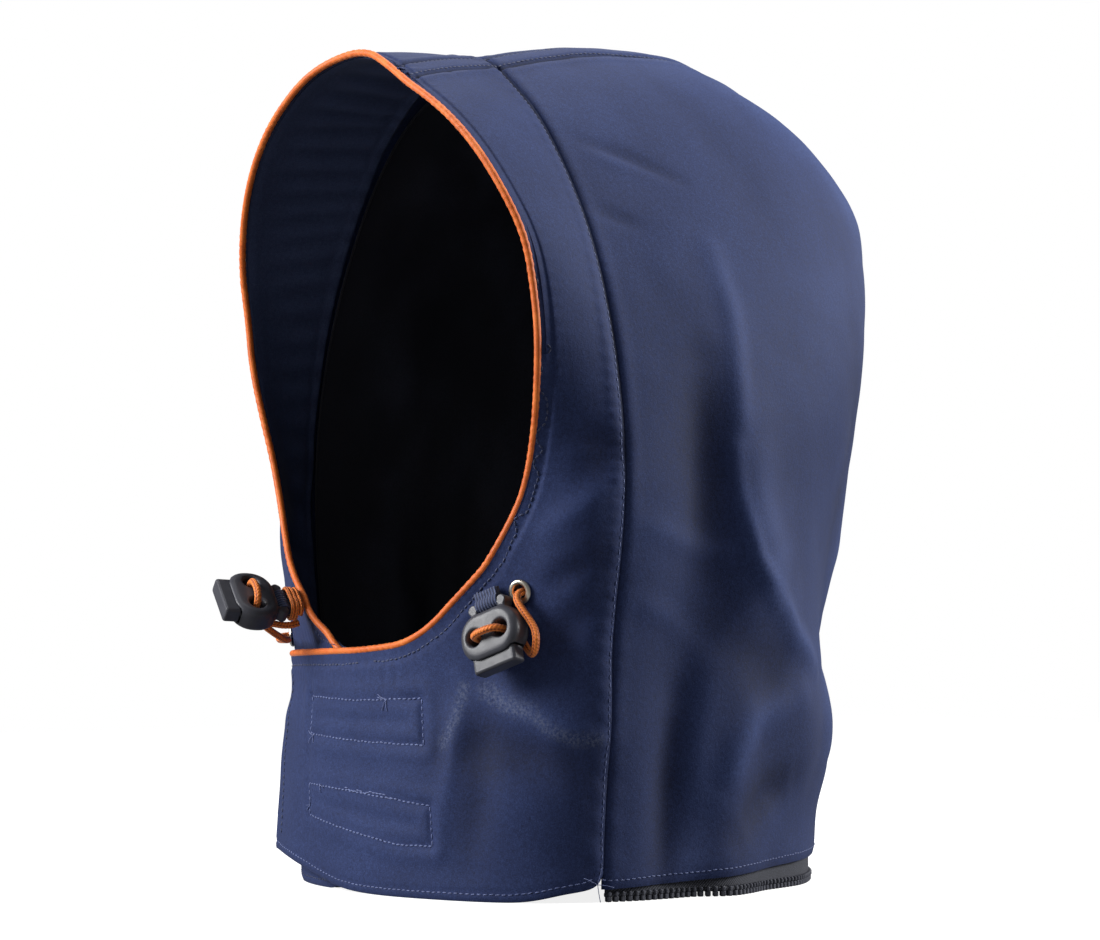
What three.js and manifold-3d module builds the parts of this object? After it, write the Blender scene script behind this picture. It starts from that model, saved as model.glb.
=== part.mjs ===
// A detachable hood of coated softshell cloth, standing on its hem as it would on a table.
// Millimetres, +Z up. The face opening looks along -Y and the wearer's left side is +X.
// The origin is under the middle of the hood, on the surface that it stands on.
import * as THREE from 'three';
import { mergeVertices } from 'three/addons/utils/BufferGeometryUtils.js';
import Module from 'manifold-3d';

const wasm = await Module();
wasm.setup();

// Overall sizes of the hood
const CROWN_HEIGHT = 357;
const HEAD_HALF_WIDTH = 114;
const HEM_HALF_WIDTH = 104;
const BODY_LENGTH = 228;
const SEAM_Y = -74.3;

// Face opening, measured from the band seam and from the chin
const OPENING_HALF_WIDTH = 102.5;
const OPENING_BOTTOM = 96.5;
const OPENING_HEIGHT = 247;
const BROW_REACH = 56;
const CHIN_REACH = 49;
const FLAP_END_X = -80;
const FLAP_HEM_RISE = 13;
const FLAP_TOP_DROP = 2.5;
const FLAP_FLARE = 7;
const COLLAR_TOP = 135;
const COLLAR_FADE = 60;
const LAP_START = 5;
const LAP_FADE = 13;
const LAP_TOP = 1;
const LAP_TOP_FADE = 15;

// Cloth and clearances
const SHELL = 1.8;
const FACING = 1.0;
const LINING = 1.0;
const LINING_SPACE = 7;
const LINING_HEM = 17;
const CLEAR = 0.3;
const STRIP_WIDTH = 11;

// Trim
const PIPING_DIAMETER = 2.8;
const PIPING_GAP = 0.7;
const CORD_DIAMETER = 3.0;
const EYELET_DIAMETER = 10;
const EYELET_HOLE = 5.6;
const EYELET_RIM = 0.9;

// Cord lock
const LOCK_LENGTH = 28;
const LOCK_WIDTH = 20;
const LOCK_DEPTH = 11;
const LOCK_HOLE = 6.8;
const LOCK_HOLE_SPACING = 13;
const BUTTON_LENGTH = 21;
const BUTTON_DEPTH = 8;
const BUTTON_PROUD = 4.5;
const BUTTON_INSIDE = 2;
const BUTTON_TRAVEL = 3;
const LOCK_CORNER = 9.2;
const LOCK_ROUND = 2.4;
const BAIL_REACH = 4.2;
const BAIL_BAR = 1.6;
const BAIL_DEPTH = 2.4;
const BAIL_SLOT = 12.4;
const BAIL_ROOT = 1;
const TAB_WIDTH = 11;
const TAB_THICKNESS = 1.2;
const LEFT_TAB_TAIL = 2.5;
const RIGHT_TAB_TAIL = 4.6;
const WRAP_DIAMETER = 1.8;
const WRAP_TURNS = 2.5;
const LOOP_DIAMETER = 1.2;

// Zip half along the back of the hem
const ZIP_TAPE_HEIGHT = 13;
const ZIP_TAPE = 0.8;
const TEETH_HEIGHT = 3.4;
const TEETH_DEPTH = 2.6;
const ZIP_END = 2;

// Grid steps
const PANEL_COLUMNS = 16;
const PANEL_ROWS = 18;
const BAND_STEPS = 2;
const BROW_STEPS = 6;
const BAND_ACROSS = 5;
const ROUND_SIDES = 8;
const PIPING_STEPS = 72;
const CORD_STEPS = 30;

// A table of named columns, each row a list of its values
function rowsOf(columns, rows) {
  return rows.map((row) => Object.fromEntries(columns.map((name, i) => [name, row[i]])));
}

// One row for each arch from the band seam to the back. u is the place along the panel. Widths are shares of
// the hem's or head's half width, depths are shares of the body length behind the seam, and heights are
// shares of the crown height. bend is the roundness of the shoulder, 2 for an ellipse.
const ARCHES = rowsOf(['u', 'hemX', 'hemY', 'hemZ', 'sideX', 'sideY', 'sideZ', 'topY', 'topZ', 'bend'], [
  [0.00, 0.945, 0.000, 0.014,  0.985, 0.000, 0.475, 0.008, 0.972, 1.80],
  [0.12, 0.985, 0.110, 0.017,  1.000, 0.123, 0.480, 0.123, 0.986, 1.74],
  [0.25, 1.000, 0.219, 0.020,  0.991, 0.254, 0.504, 0.263, 0.996, 1.70],
  [0.40, 0.950, 0.360, 0.025,  0.930, 0.417, 0.532, 0.430, 0.995, 1.70],
  [0.55, 0.820, 0.505, 0.029,  0.820, 0.570, 0.566, 0.588, 0.972, 1.74],
  [0.70, 0.615, 0.625, 0.032,  0.655, 0.705, 0.605, 0.725, 0.934, 1.80],
  [0.82, 0.410, 0.703, 0.033,  0.465, 0.805, 0.652, 0.832, 0.888, 1.86],
  [0.92, 0.225, 0.752, 0.034,  0.265, 0.890, 0.725, 0.922, 0.843, 1.94],
  [1.00, 0.053, 0.775, 0.034, 0.0485, 0.987, 0.792, 0.990, 0.797, 2.00],
]);

// One row for each point of half of the opening's edge, from the brow down to the chin. height is a share of
// the opening's height, half is a share of its half width, and reach is a share of the brow's reach. right
// is how much further out the wearer's right side stands, as a share of the half width.
const OPENING = rowsOf(['height', 'half', 'reach', 'right'], [
  [1.000, 0.000, 0.930,  0.000],
  [0.990, 0.195, 0.960, -0.010],
  [0.945, 0.395, 1.000, -0.020],
  [0.903, 0.565, 0.980, -0.030],
  [0.863, 0.696, 0.930, -0.035],
  [0.822, 0.790, 0.890, -0.035],
  [0.782, 0.861, 0.850, -0.030],
  [0.741, 0.916, 0.790, -0.020],
  [0.660, 0.981, 0.680,  0.010],
  [0.579, 0.997, 0.620,  0.010],
  [0.500, 1.000, 0.590,  0.005],
  [0.418, 0.970, 0.560,  0.000],
  [0.337, 0.920, 0.530,  0.000],
  [0.257, 0.859, 0.540,  0.000],
  [0.176, 0.750, 0.610,  0.000],
  [0.135, 0.681, 0.650,  0.000],
  [0.095, 0.565, 0.695,  0.000],
  [0.055, 0.457, 0.750,  0.000],
  [0.034, 0.383, 0.785,  0.000],
  [0.014, 0.272, 0.818,  0.000],
  [0.000, 0.000, 0.849,  0.000],
]);

// One row for each rib of the front band. open runs along the opening's edge from the top of the brow, 0, to
// the chin, 1, and on along the flap to its end, 2. outer runs down the band seam, 0 to 1, and on along the
// front hem to the flap's end, 2. bulge is a share of the hem's half width.
const BAND_RIBS = rowsOf(['open', 'outer', 'bulge'], [
  [0.260, 0.225, 0.020],
  [0.390, 0.345, 0.020],
  [0.500, 0.460, 0.010],
  [0.620, 0.570, 0.010],
  [0.740, 0.700, 0.010],
  [0.820, 0.830, 0.000],
  [0.880, 0.930, 0.000],
  [0.915, 1.000, 0.000],
  [0.945, 1.150, 0.000],
  [0.980, 1.340, 0.000],
]);
const FLAP_RIBS = rowsOf(['open', 'outer', 'bulge'], [
  [1.160, 1.540, 0.000],
  [1.540, 1.760, 0.000],
  [2.000, 2.000, 0.000],
]);
const UNDERLAP_RIBS = rowsOf(['open', 'outer', 'bulge'], [
  [1.300, 1.480, 0.000],
]);

// Where the eyelets sit on the bands, in the ribs' own places and a share of the way across
const EYELET_PLACES = {
  left: { open: 0.795, outer: 0.720, across: 0.28 },
  right: { open: 0.800, outer: 0.778, across: 0.62 },
};
const BROW_BULGE = 0.012;

// Where the locks sit. The stand is a share of the cord's diameter; turn, lean and drop are angles.
const LEFT_LOCK_PLACE = { open: 0.830, outer: 0.817, across: 0.29 };
const LEFT_LOCK_STAND = 1.42;
const LEFT_LOCK_LEAN = 0.26;
const LEFT_LOCK_TURN = 3.9;
const LEFT_TAB_DROP = -0.22;
const RIGHT_TAB_PLACE = { open: 0.830, outer: 0.817, bulge: 0 };
const RIGHT_TAB_GAP = 2.2;
const RIGHT_LOCK_WAY = [-0.22, -0.96, 0.05];
const RIGHT_LOCK_ALONG = [-0.75, 0.13, 0.65];
const LOOP_PLACE = 0.82;

// A cord's way through its lock, from the eyelet's side to its end, as shares of the lock's length, width
// and depth in the lock's own frame
const LEFT_CORD = rowsOf(['along', 'across', 'out'], [
  [-0.610, -0.18, -0.40],
  [-0.620, 0.15, -0.25],
  [-0.610, 0.36, -0.28],
  [-0.500, 0.52, -0.48],
  [-0.380, 0.50, -0.68],
  [-0.270, 0.26, -0.78],
  [-0.235, 0.06, -0.72],
  [-0.232, 0.00, -0.45],
  [-0.232, 0.00, 0.00],
  [-0.220, 0.00, 0.40],
  [-0.178, 0.00, 0.62],
  [-0.090, 0.00, 0.73],
  [0.000, 0.00, 0.75],
  [0.090, 0.00, 0.73],
  [0.178, 0.00, 0.62],
  [0.220, 0.00, 0.40],
  [0.232, 0.00, 0.00],
  [0.232, 0.00, -0.45],
  [0.230, 0.06, -0.70],
  [0.150, 0.24, -0.69],
  [0.040, 0.36, -0.68],
]);
const RIGHT_CORD = rowsOf(['along', 'across', 'out'], [
  [0.080, -1.25, -1.90],
  [-0.060, -0.95, -1.62],
  [-0.130, -0.60, -1.15],
  [-0.060, -0.30, -0.86],
  [0.110, -0.10, -0.82],
  [0.215, -0.02, -0.66],
  [0.232, 0.00, -0.42],
  [0.232, 0.00, 0.00],
  [0.220, 0.00, 0.40],
  [0.178, 0.00, 0.62],
  [0.090, 0.00, 0.73],
  [0.000, 0.00, 0.75],
  [-0.090, 0.00, 0.73],
  [-0.178, 0.00, 0.62],
  [-0.220, 0.00, 0.40],
  [-0.232, 0.00, 0.00],
  [-0.232, 0.00, -0.42],
  [-0.228, -0.06, -0.66],
  [-0.180, -0.28, -0.76],
  [-0.160, -0.52, -0.70],
  [-0.190, -0.74, -0.68],
  [-0.200, -0.92, -0.62],
  [-0.180, -1.08, -0.54],
]);

// Where the centre strip lies across the crown: at is the place along the panel, negative on the front
// band, and shift is the strip's middle as a share of the head's half width, towards the wearer's left.
const STRIP_PATH = rowsOf(['at', 'shift'], [
  [-1.00, 0.350],
  [ 0.00, 0.205],
  [ 0.12, 0.170],
  [ 0.25, 0.125],
  [ 0.40, 0.075],
  [ 0.55, 0.030],
  [ 0.70, 0.000],
  [ 1.00, 0.000],
]);

// Folds and dents of the cloth. Each runs between two points of the side view, given as shares of the body
// length behind the seam and of the crown height. half is its half width and rise its height out of the
// cloth, both as shares of the head's half width; a dent has a negative rise. side is 1 for the wearer's
// left, -1 for the right and 0 for both.
const FOLDS = rowsOf(['name', 'side', 'fromY', 'fromZ', 'toY', 'toZ', 'half', 'rise'], [
  ['long ridge, top'        , 0,  0.16, 0.78,  0.26,  0.56, 0.13,  0.012],
  ['long ridge, middle'     , 0,  0.25, 0.56,  0.31,  0.37, 0.13,  0.040],
  ['long ridge, foot'       , 0,  0.31, 0.37,  0.48,  0.19, 0.15,  0.055],
  ['hollow before the ridge', 0,  0.20, 0.50,  0.16,  0.30, 0.17, -0.045],
  ['hollow behind the ridge', 0,  0.62, 0.42,  0.72,  0.24, 0.26, -0.060],
  ['hem ridge'              , 0,  0.26, 0.30,  0.27,  0.04, 0.12,  0.040],
  ['hem valley'             , 0,  0.13, 0.26,  0.19,  0.03, 0.12, -0.050],
  ['collar lobe'            , 0,  0.50, 0.16,  0.78,  0.17, 0.15,  0.045],
  ['back hem valley'        , 0,  0.52, 0.10,  0.42,  0.03, 0.12, -0.030],
  ['upper seam crease'      , 0,  0.02, 0.84,  0.18,  0.80, 0.06, -0.018],
  ['lower seam crease'      , 0,  0.02, 0.76,  0.12, 0.745, 0.06, -0.016],
  ['band fold, high'        , 0,  0.00, 0.46, -0.10,  0.40, 0.07,  0.020],
  ['band fold, low'         , 0,  0.00, 0.36, -0.13,  0.29, 0.09, -0.030],
  ['hollow under the lock'  , 0, -0.01, 0.27, -0.14,  0.20, 0.10, -0.035],
  ['collar roll'            , 0, -0.03, 0.20, -0.17,  0.17, 0.09,  0.022],
]);

const NAVY = new THREE.MeshStandardMaterial({ color: 0x343d52, roughness: 0.9, metalness: 0 });
const NAVY_FACING = new THREE.MeshStandardMaterial({ color: 0x2c3448, roughness: 0.92, metalness: 0 });
const BLACK_LINING = new THREE.MeshStandardMaterial({ color: 0x15161a, roughness: 0.85, metalness: 0 });
const ORANGE = new THREE.MeshStandardMaterial({ color: 0xe8702a, roughness: 0.7, metalness: 0 });
const LOCK_GREY = new THREE.MeshStandardMaterial({ color: 0x55555c, roughness: 0.55, metalness: 0 });
const SILVER = new THREE.MeshStandardMaterial({ color: 0xd8d4cc, roughness: 0.3, metalness: 0.9 });
const WEBBING = new THREE.MeshStandardMaterial({ color: 0x323c55, roughness: 0.9, metalness: 0 });
const ZIP_GREY = new THREE.MeshStandardMaterial({ color: 0x3e4049, roughness: 0.75, metalness: 0 });

const hood = new THREE.Group();

function add(name, geometry, material) {
  const mesh = new THREE.Mesh(geometry, material);
  mesh.name = name;
  hood.add(mesh);
  return mesh;
}

// Smooth value of a table column at a place: a cubic through the neighbouring rows that never overshoots
function readTable(rows, key, column, place) {
  const last = rows.length - 1;
  const where = THREE.MathUtils.clamp(place, rows[0][key], rows[last][key]);
  let i = 0;
  while (i < last - 1 && where > rows[i + 1][key]) {
    i += 1;
  }
  const slope = (k) => {
    if (k <= 0 || k >= last) {
      const a = Math.max(0, k - 1);
      const b = Math.min(last, k + 1);
      return (rows[b][column] - rows[a][column]) / (rows[b][key] - rows[a][key]);
    }
    const before = (rows[k][column] - rows[k - 1][column]) / (rows[k][key] - rows[k - 1][key]);
    const after = (rows[k + 1][column] - rows[k][column]) / (rows[k + 1][key] - rows[k][key]);
    return before * after <= 0 ? 0 : (2 * before * after) / (before + after);
  };
  const step = rows[i + 1][key] - rows[i][key];
  const t = (where - rows[i][key]) / step;
  const a = rows[i][column];
  const b = rows[i + 1][column];
  const t2 = t * t;
  const t3 = t2 * t;
  return a * (2 * t3 - 3 * t2 + 1) + step * slope(i) * (t3 - 2 * t2 + t)
    + b * (3 * t2 - 2 * t3) + step * slope(i + 1) * (t3 - t2);
}

// Direction out of the hood at a point: away from its upright axis, and from a head's middle above it
const HEAD_CENTRE_Z = CROWN_HEIGHT * 0.56;
const HEAD_CENTRE_Y = SEAM_Y + BODY_LENGTH * 0.32;
function outward(point) {
  const centre = new THREE.Vector3(0, HEAD_CENTRE_Y, Math.min(point.z, HEAD_CENTRE_Z));
  return point.clone().sub(centre).normalize();
}

// How far the folds lift the cloth at a point
function foldRise(point) {
  let rise = 0;
  for (const fold of FOLDS) {
    if (fold.side * point.x < 0) {
      continue;
    }
    const from = new THREE.Vector2(SEAM_Y + BODY_LENGTH * fold.fromY, CROWN_HEIGHT * fold.fromZ);
    const to = new THREE.Vector2(SEAM_Y + BODY_LENGTH * fold.toY, CROWN_HEIGHT * fold.toZ);
    const here = new THREE.Vector2(point.y, point.z);
    const along = to.clone().sub(from);
    const t = THREE.MathUtils.clamp(here.clone().sub(from).dot(along) / along.lengthSq(), 0, 1);
    const away = here.distanceTo(from.clone().addScaledVector(along, t)) / (fold.half * HEAD_HALF_WIDTH);
    rise += fold.rise * HEAD_HALF_WIDTH * Math.exp(-away * away);
  }
  const sideways = THREE.MathUtils.smoothstep(Math.abs(point.x), 0, HEAD_HALF_WIDTH * 0.5);
  return rise * sideways;
}

// The folds leave the band seam in its plane, so that the panels on both sides of it keep meeting
function folded(point) {
  const way = outward(point);
  way.y *= THREE.MathUtils.smoothstep(Math.abs(point.y - SEAM_Y), 0, BODY_LENGTH * 0.12);
  return point.clone().addScaledVector(way, foldRise(point));
}

// Half of one arch, from the crown's middle down to the hem, as a row of points at even spacing
function arch(u) {
  const read = (column) => readTable(ARCHES, 'u', column, u);
  const hem = new THREE.Vector3(read('hemX') * HEM_HALF_WIDTH, SEAM_Y + read('hemY') * BODY_LENGTH,
    read('hemZ') * CROWN_HEIGHT);
  const side = new THREE.Vector3(read('sideX') * HEAD_HALF_WIDTH, SEAM_Y + read('sideY') * BODY_LENGTH,
    read('sideZ') * CROWN_HEIGHT);
  const topY = SEAM_Y + read('topY') * BODY_LENGTH;
  const topZ = read('topZ') * CROWN_HEIGHT;
  const bend = 2 / read('bend');
  const points = [];
  const steps = 48;
  for (let i = 0; i <= steps; i += 1) {
    const angle = (Math.PI / 2) * (i / steps);
    const rise = Math.cos(angle) ** bend;
    points.push(new THREE.Vector3(side.x * Math.sin(angle) ** bend, side.y + (topY - side.y) * rise,
      side.z + (topZ - side.z) * rise));
  }
  for (let i = 1; i <= steps; i += 1) {
    const down = i / steps;
    const ease = down * down * (3 - 2 * down);
    const back = 1 - (1 - down) ** 1.3;
    points.push(new THREE.Vector3(THREE.MathUtils.lerp(side.x, hem.x, ease),
      THREE.MathUtils.lerp(side.y, hem.y, back), THREE.MathUtils.lerp(side.z, hem.z, down)));
  }
  return points;
}

// Point at a share of a polyline's length, and the share at which its x first reaches a value
function lengths(points) {
  const marks = [0];
  for (let i = 1; i < points.length; i += 1) {
    marks.push(marks[i - 1] + points[i].distanceTo(points[i - 1]));
  }
  return marks;
}

function pointAt(points, share) {
  const marks = lengths(points);
  const want = THREE.MathUtils.clamp(share, 0, 1) * marks[marks.length - 1];
  let i = 1;
  while (i < points.length - 1 && marks[i] < want) {
    i += 1;
  }
  const t = (want - marks[i - 1]) / (marks[i] - marks[i - 1]);
  return points[i - 1].clone().lerp(points[i], t);
}

function shareAtX(points, x) {
  const marks = lengths(points);
  const total = marks[marks.length - 1];
  for (let i = 1; i < points.length; i += 1) {
    if (points[i].x >= x) {
      const t = (x - points[i - 1].x) / (points[i].x - points[i - 1].x);
      return (marks[i - 1] + t * (marks[i] - marks[i - 1])) / total;
    }
  }
  return 1;
}

// A point of a whole arch: share runs from the crown, 0, to the left hem, 1, and to the right hem, -1
function archPoint(points, share) {
  const point = pointAt(points, Math.abs(share));
  point.x *= Math.sign(share) || 1;
  return point;
}

// The share along an arch where x has a value of either sign
function archShare(points, x) {
  return Math.sign(x) * shareAtX(points, Math.abs(x));
}

const stripShift = (at) => readTable(STRIP_PATH, 'at', 'shift', at) * HEAD_HALF_WIDTH;

// Side panels. side is 1 for the wearer's left and -1 for the right. Each column follows an arch from the
// strip's edge to the hem; the last column runs down the back beside the strip.
const PANEL_EDGE = STRIP_WIDTH / 2 + CLEAR / 2;
const column = (i) => 1 - (1 - i / PANEL_COLUMNS) ** 1.25;

function panelColumn(u, side, rows) {
  const points = arch(u);
  const edgeX = side * stripShift(u) + PANEL_EDGE;
  const widest = Math.max(...points.map((p) => p.x));
  const top = edgeX >= widest ? 0 : (Math.sign(edgeX) || 1) * shareAtX(points, Math.abs(edgeX));
  const line = [];
  for (let j = 0; j <= rows; j += 1) {
    const share = top + (1 - top) * (j / rows);
    const point = pointAt(points, Math.abs(share));
    point.x *= share < 0 ? -side : side;
    if (u >= 1) {
      point.x = side * PANEL_EDGE;
    }
    line.push(folded(point));
  }
  return line;
}

function panelGrid(side) {
  const grid = [];
  for (let i = 0; i <= PANEL_COLUMNS; i += 1) {
    grid.push(panelColumn(column(i), side, PANEL_ROWS));
  }
  return grid;
}

// Normals of a grid of points, turned to face out of the hood
function gridNormals(grid) {
  return grid.map((line, i) => line.map((point, j) => {
    const alongI = grid[Math.min(i + 1, grid.length - 1)][j].clone().sub(grid[Math.max(i - 1, 0)][j]);
    const alongJ = line[Math.min(j + 1, line.length - 1)].clone().sub(line[Math.max(j - 1, 0)]);
    const normal = alongI.cross(alongJ);
    const out = outward(point);
    if (normal.lengthSq() < 1e-9) {
      return out;
    }
    normal.normalize();
    return normal.dot(out) < 0 ? normal.negate() : normal;
  }));
}

// A sheet of cloth: the grid is its outer face, moved in by inset, and the inner face lies a thickness
// deeper. An edge that lies against its neighbour keeps its normals in the plane of the cut.
function sheet(grid, inset, thickness, cuts = {}, flatBelow = 0) {
  const normals = gridNormals(grid);
  const lastI = grid.length - 1;
  const lastJ = grid[0].length - 1;
  const flatten = (normal, axis) => {
    normal[axis] = 0;
    return normal.normalize();
  };
  for (let i = 0; i <= lastI; i += 1) {
    for (let j = 0; j <= lastJ; j += 1) {
      if (cuts.firstI && i === 0) {
        flatten(normals[i][j], cuts.firstI);
      }
      if (cuts.lastI && i === lastI) {
        flatten(normals[i][j], cuts.lastI);
      }
      if (cuts.firstJ && j === 0) {
        flatten(normals[i][j], cuts.firstJ);
      }
      if (cuts.lastJ && j === lastJ && i <= (cuts.lastJUntil ?? lastI)) {
        flatten(normals[i][j], cuts.lastJ);
      }
    }
  }
  const positions = [];
  const at = (layer, i, j) => (layer * (lastI + 1) + i) * (lastJ + 1) + j;
  for (const depth of [inset, inset + thickness]) {
    for (let i = 0; i <= lastI; i += 1) {
      for (let j = 0; j <= lastJ; j += 1) {
        const point = grid[i][j].clone().addScaledVector(normals[i][j], -depth);
        point.z = grid[i][j].z < flatBelow ? grid[i][j].z : point.z;
        positions.push(point.x, point.y, point.z);
      }
    }
  }
  const index = [];
  const quad = (a, b, c, d) => index.push(a, b, c, a, c, d);
  for (let i = 0; i < lastI; i += 1) {
    for (let j = 0; j < lastJ; j += 1) {
      quad(at(0, i, j), at(0, i, j + 1), at(0, i + 1, j + 1), at(0, i + 1, j));
      quad(at(1, i, j), at(1, i + 1, j), at(1, i + 1, j + 1), at(1, i, j + 1));
    }
    quad(at(0, i, 0), at(0, i + 1, 0), at(1, i + 1, 0), at(1, i, 0));
    quad(at(0, i, lastJ), at(1, i, lastJ), at(1, i + 1, lastJ), at(0, i + 1, lastJ));
  }
  for (let j = 0; j < lastJ; j += 1) {
    quad(at(0, 0, j), at(1, 0, j), at(1, 0, j + 1), at(0, 0, j + 1));
    quad(at(0, lastI, j), at(0, lastI, j + 1), at(1, lastI, j + 1), at(1, lastI, j));
  }
  const geometry = new THREE.BufferGeometry();
  geometry.setAttribute('position', new THREE.Float32BufferAttribute(positions, 3));
  geometry.setIndex(index);
  return facingOut(geometry);
}

// Turns a closed geometry right side out
function facingOut(geometry) {
  const position = geometry.getAttribute('position');
  const index = geometry.getIndex();
  let volume = 0;
  const corner = (k) => new THREE.Vector3().fromBufferAttribute(position, index.getX(k));
  for (let k = 0; k < index.count; k += 3) {
    volume += corner(k).dot(corner(k + 1).cross(corner(k + 2)));
  }
  if (volume < 0) {
    for (let k = 0; k < index.count; k += 3) {
      const swap = index.getX(k + 1);
      index.setX(k + 1, index.getX(k + 2));
      index.setX(k + 2, swap);
    }
  }
  geometry.computeVertexNormals();
  return geometry;
}

// Exact cutting and joining
function toSolid(geometry) {
  const bare = geometry.clone();
  bare.deleteAttribute('normal');
  bare.deleteAttribute('uv');
  const merged = mergeVertices(bare, 1e-3);
  return new wasm.Manifold(new wasm.Mesh({
    numProp: 3,
    vertProperties: new Float32Array(merged.getAttribute('position').array),
    triVerts: new Uint32Array(merged.getIndex().array),
  }));
}

function toGeometry(solid) {
  const mesh = solid.getMesh();
  const geometry = new THREE.BufferGeometry();
  geometry.setAttribute('position', new THREE.Float32BufferAttribute(Array.from(mesh.vertProperties), 3));
  geometry.setIndex(Array.from(mesh.triVerts));
  geometry.computeVertexNormals();
  return geometry;
}

const leftPanel = panelGrid(1);
const rightPanel = panelGrid(-1);
const PANEL_CUTS = { firstI: 'y', lastI: 'x', firstJ: 'x' };

function seamGap(grid) {
  const [first, ...rest] = grid;
  return [first.map((point) => point.clone().setY(point.y + CLEAR / 2)), ...rest];
}
add('side_panel_left', sheet(seamGap(leftPanel), 0, SHELL, PANEL_CUTS), NAVY);
add('side_panel_right', sheet(seamGap(rightPanel), 0, SHELL, PANEL_CUTS), NAVY);

// Centre strip: a felled strip between the side panels, over the crown and down the back to the hem
const STRIP_HALF = STRIP_WIDTH / 2 - CLEAR / 2;

function stripCrown(u) {
  const points = arch(u);
  const widest = Math.max(...points.map((p) => p.x));
  return [-1, 0, 1].map((across) => {
    const x = stripShift(u) + across * STRIP_HALF;
    if (Math.abs(x) >= widest || u >= 1) {
      return folded(new THREE.Vector3(across * STRIP_HALF, points[0].y, points[0].z));
    }
    return folded(archPoint(points, archShare(points, x) || 0));
  });
}

function stripGrid() {
  const grid = [];
  for (let i = 0; i <= PANEL_COLUMNS; i += 1) {
    grid.push(stripCrown(column(i)));
  }
  const back = arch(1);
  for (let j = 1; j <= PANEL_ROWS; j += 1) {
    const down = pointAt(back, j / PANEL_ROWS);
    grid.push([-1, 0, 1].map((across) => folded(new THREE.Vector3(across * STRIP_HALF, down.y, down.z))));
  }
  grid[0] = grid[0].map((point) => point.clone().setY(point.y + CLEAR / 2));
  return grid;
}
add('centre_strip', sheet(stripGrid(), 0, SHELL, { firstI: 'y', firstJ: 'x', lastJ: 'x' }), NAVY);

// Edge of the face opening: half of it from the brow to the chin, then along the top of the flap
function openingHalf(side) {
  return OPENING.map((row) => new THREE.Vector3((row.half + (side < 0 ? row.right : 0)) * OPENING_HALF_WIDTH,
    SEAM_Y - row.reach * BROW_REACH, OPENING_BOTTOM + row.height * OPENING_HEIGHT));
}
const OPENING_CURVES = [1, -1].map((side) => (
  new THREE.CatmullRomCurve3(openingHalf(side), false, 'centripetal').getSpacedPoints(120)));
const openingCurve = (side) => OPENING_CURVES[side > 0 ? 0 : 1];

// Front of the collar: at each height an ellipse from one band seam round the chin to the other
const seamLine = arch(0);

function seamHalf(z) {
  const i = seamLine.findIndex((point) => point.z <= z);
  if (i < 1) {
    return seamLine.at(i).x;
  }
  const t = (z - seamLine[i].z) / (seamLine[i - 1].z - seamLine[i].z);
  return THREE.MathUtils.lerp(seamLine[i].x, seamLine[i - 1].x, t);
}

const chinReach = (z) => CHIN_REACH * (1.02 - 0.05 * THREE.MathUtils.clamp(z / OPENING_BOTTOM, 0, 1));

function collarY(x, z) {
  const share = Math.min(1, Math.abs(x) / seamHalf(z));
  return SEAM_Y - chinReach(z) * Math.sqrt(1 - share * share);
}

function ontoCollar(point) {
  const across = point.x / seamHalf(point.z);
  const ahead = (point.y - SEAM_Y) / chinReach(point.z);
  const scale = 1 / Math.hypot(across, ahead);
  return new THREE.Vector3(point.x * scale, SEAM_Y + (point.y - SEAM_Y) * scale, point.z);
}

function flapTop() {
  const points = [];
  for (let i = 0; i <= 24; i += 1) {
    const x = (FLAP_END_X * i) / 24;
    const z = OPENING_BOTTOM - FLAP_TOP_DROP * (i / 24);
    points.push(new THREE.Vector3(x, collarY(x, z), z));
  }
  return points;
}

function hemFront() {
  const start = seamLine.at(-1);
  const points = [];
  for (let i = 0; i <= 60; i += 1) {
    const x = start.x + ((FLAP_END_X - 2 - start.x) * (1 - Math.cos((Math.PI * i) / 60))) / 2;
    const rise = FLAP_HEM_RISE * THREE.MathUtils.smoothstep(-x, 0, -FLAP_END_X);
    const near = THREE.MathUtils.smoothstep(x, start.x * 0.82, start.x);
    const z = Math.max(rise, start.z * near);
    points.push(new THREE.Vector3(x, collarY(x, z), z));
  }
  points[0] = start.clone();
  return points;
}
const flapTopLine = flapTop();
const hemFrontLine = hemFront();

// A point of the edge, for the half of the hood on one side. A negative place lies past the brow's top, on
// the other side's curve.
function openPoint(side, place) {
  if (place > 1) {
    return pointAt(flapTopLine, place - 1);
  }
  const point = pointAt(openingCurve(place < 0 ? -side : side), Math.abs(place));
  point.x *= Math.sign(place) || 1;
  return point;
}

function outerPoint(place) {
  return place > 1 ? pointAt(hemFrontLine, place - 1) : archPoint(seamLine, place);
}

// Places of the strip's edges on the brow's edge and on the band seam, seen from one side
const browShift = readTable(STRIP_PATH, 'at', 'shift', -1) * HEAD_HALF_WIDTH;

function openShareAtX(side, x) {
  return Math.sign(x) * shareAtX(openingCurve(x < 0 ? -side : side), Math.abs(x));
}
const stripEdgeOpen = (side) => openShareAtX(side, side * browShift + PANEL_EDGE);
const stripEdgeOuter = (side) => archShare(seamLine, side * stripShift(0) + PANEL_EDGE);

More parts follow.
